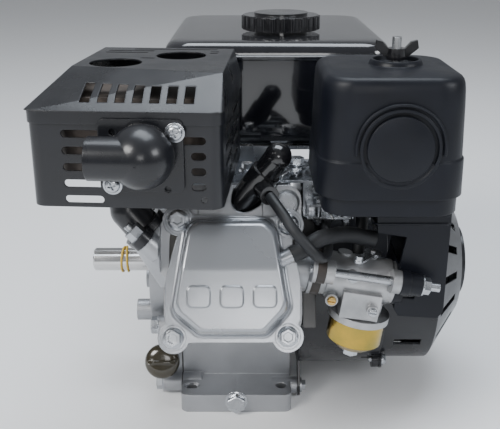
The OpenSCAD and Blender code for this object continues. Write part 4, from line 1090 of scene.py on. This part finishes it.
# name, place, aim, width, watts and tint
LAMPS = [
    ("softbox_left", (-1.1, -1.1, 1.25), (0, -0.1, 0.15), 0.8, 26, (1, 0.99, 0.97)),
    ("softbox_right", (1.3, -0.9, 0.9), (0, -0.1, 0.15), 0.6, 9, (0.95, 0.97, 1)),
    ("softbox_top", (0.1, 0.1, 1.7), (0, -0.1, 0.2), 1.2, 24, (0.85, 0.92, 1)),
    ("softbox_front", (0.1, -1.9, 0.7), (0, -0.1, 0.15), 0.5, 4, (1, 1, 1)),
]
CAMERA_PLACE = (0.0115, -0.668, 0.3836)
CAMERA_TILT = 70
CAMERA_LENS = 57.6


class ENGINE_OT_stage(bpy.types.Operator):
    """Pale floor, soft lights and the camera"""
    bl_idname = "engine.stage"
    bl_label = "Stage"

    def execute(self, context):
        clear()
        bpy.ops.mesh.primitive_plane_add(size=12, location=(0, 0, -0.0002))
        floor = called("floor")
        pick(floor, "EDGE", lambda e: min(v.co.y for v in e.verts) > 5)
        bpy.ops.mesh.extrude_region_move(TRANSFORM_OT_translate={"value": (0, 1.5, 0.6)})
        bpy.ops.mesh.extrude_region_move(TRANSFORM_OT_translate={"value": (0, 0.4, 5)})
        bpy.ops.object.mode_set(mode="OBJECT")
        apply_modifier(floor, "BEVEL", width=0.8, segments=10)
        bpy.ops.object.shade_smooth()
        paper = bpy.data.materials.new("studio_paper")
        paper.use_nodes = True
        nodes, links = paper.node_tree.nodes, paper.node_tree.links
        noise = nodes.new("ShaderNodeTexNoise")
        noise.inputs["Scale"].default_value = 3
        mix = nodes.new("ShaderNodeMix")
        mix.data_type = "RGBA"
        mix.inputs[6].default_value = (0.9, 0.91, 0.92, 1)
        mix.inputs[7].default_value = (0.92, 0.92, 0.93, 1)
        links.new(noise.outputs["Fac"], mix.inputs[0])
        links.new(mix.outputs[2], nodes["Principled BSDF"].inputs["Base Color"])
        nodes["Principled BSDF"].inputs["Roughness"].default_value = 0.9
        floor.data.materials.append(paper)

        world = bpy.data.worlds.new("studio")
        context.scene.world = world
        world.use_nodes = True
        world.node_tree.nodes["Background"].inputs["Color"].default_value = (0.93, 0.96, 1, 1)
        world.node_tree.nodes["Background"].inputs["Strength"].default_value = 0.3

        for name, spot, aim, size, power, tint in LAMPS:
            bpy.ops.object.light_add(type="AREA", location=spot)
            lamp = bpy.context.object
            lamp.name = name
            lamp.data.shape = "RECTANGLE"
            lamp.data.size, lamp.data.size_y = size, size * 0.7
            lamp.data.energy = power
            lamp.data.color = tint
            lamp.rotation_euler = (Vector(aim) - Vector(spot)).to_track_quat("-Z", "Y").to_euler()

        bpy.ops.object.camera_add(location=CAMERA_PLACE, rotation=(math.radians(CAMERA_TILT), 0, 0))
        camera = bpy.context.object
        camera.name = "camera"
        camera.data.lens = CAMERA_LENS
        camera.data.sensor_width = 36
        camera.data.clip_start = 0.01
        context.scene.camera = camera
        return {"FINISHED"}


class ENGINE_PT_panel(bpy.types.Panel):
    """Sizes, colours and pieces of the engine"""
    bl_idname = "ENGINE_PT_panel"
    bl_label = "Engine"
    bl_space_type = "VIEW_3D"
    bl_region_type = "UI"
    bl_category = "Engine"

    def draw(self, context):
        column = self.layout.column()
        for group in (context.scene.engine_finishes, context.scene.engine_sizes):
            for key in group.__annotations__:
                column.prop(group, key)
        for piece in PIECES:
            column.operator(piece.bl_idname)


PIECES = [
    ENGINE_OT_finishes, ENGINE_OT_valve_cover, ENGINE_OT_fasteners, ENGINE_OT_deflector_screws,
    ENGINE_OT_air_cleaner, ENGINE_OT_tank, ENGINE_OT_hoses, ENGINE_OT_shaft_band, ENGINE_OT_oil_cap,
    ENGINE_OT_linkage, ENGINE_OT_stage,
]
CLASSES = [ENGINE_PG_finishes, ENGINE_PG_sizes, *PIECES, ENGINE_PT_panel]


def register():
    for c in CLASSES:
        bpy.utils.register_class(c)
    bpy.types.Scene.engine_finishes = PointerProperty(type=ENGINE_PG_finishes)
    bpy.types.Scene.engine_sizes = PointerProperty(type=ENGINE_PG_sizes)


def unregister():
    del bpy.types.Scene.engine_finishes
    del bpy.types.Scene.engine_sizes
    for c in reversed(CLASSES):
        bpy.utils.unregister_class(c)


def main():
    register()
    for piece in PIECES:
        group, name = piece.bl_idname.split(".")
        getattr(getattr(bpy.ops, group), name)()


if __name__ == "__main__":
    main()
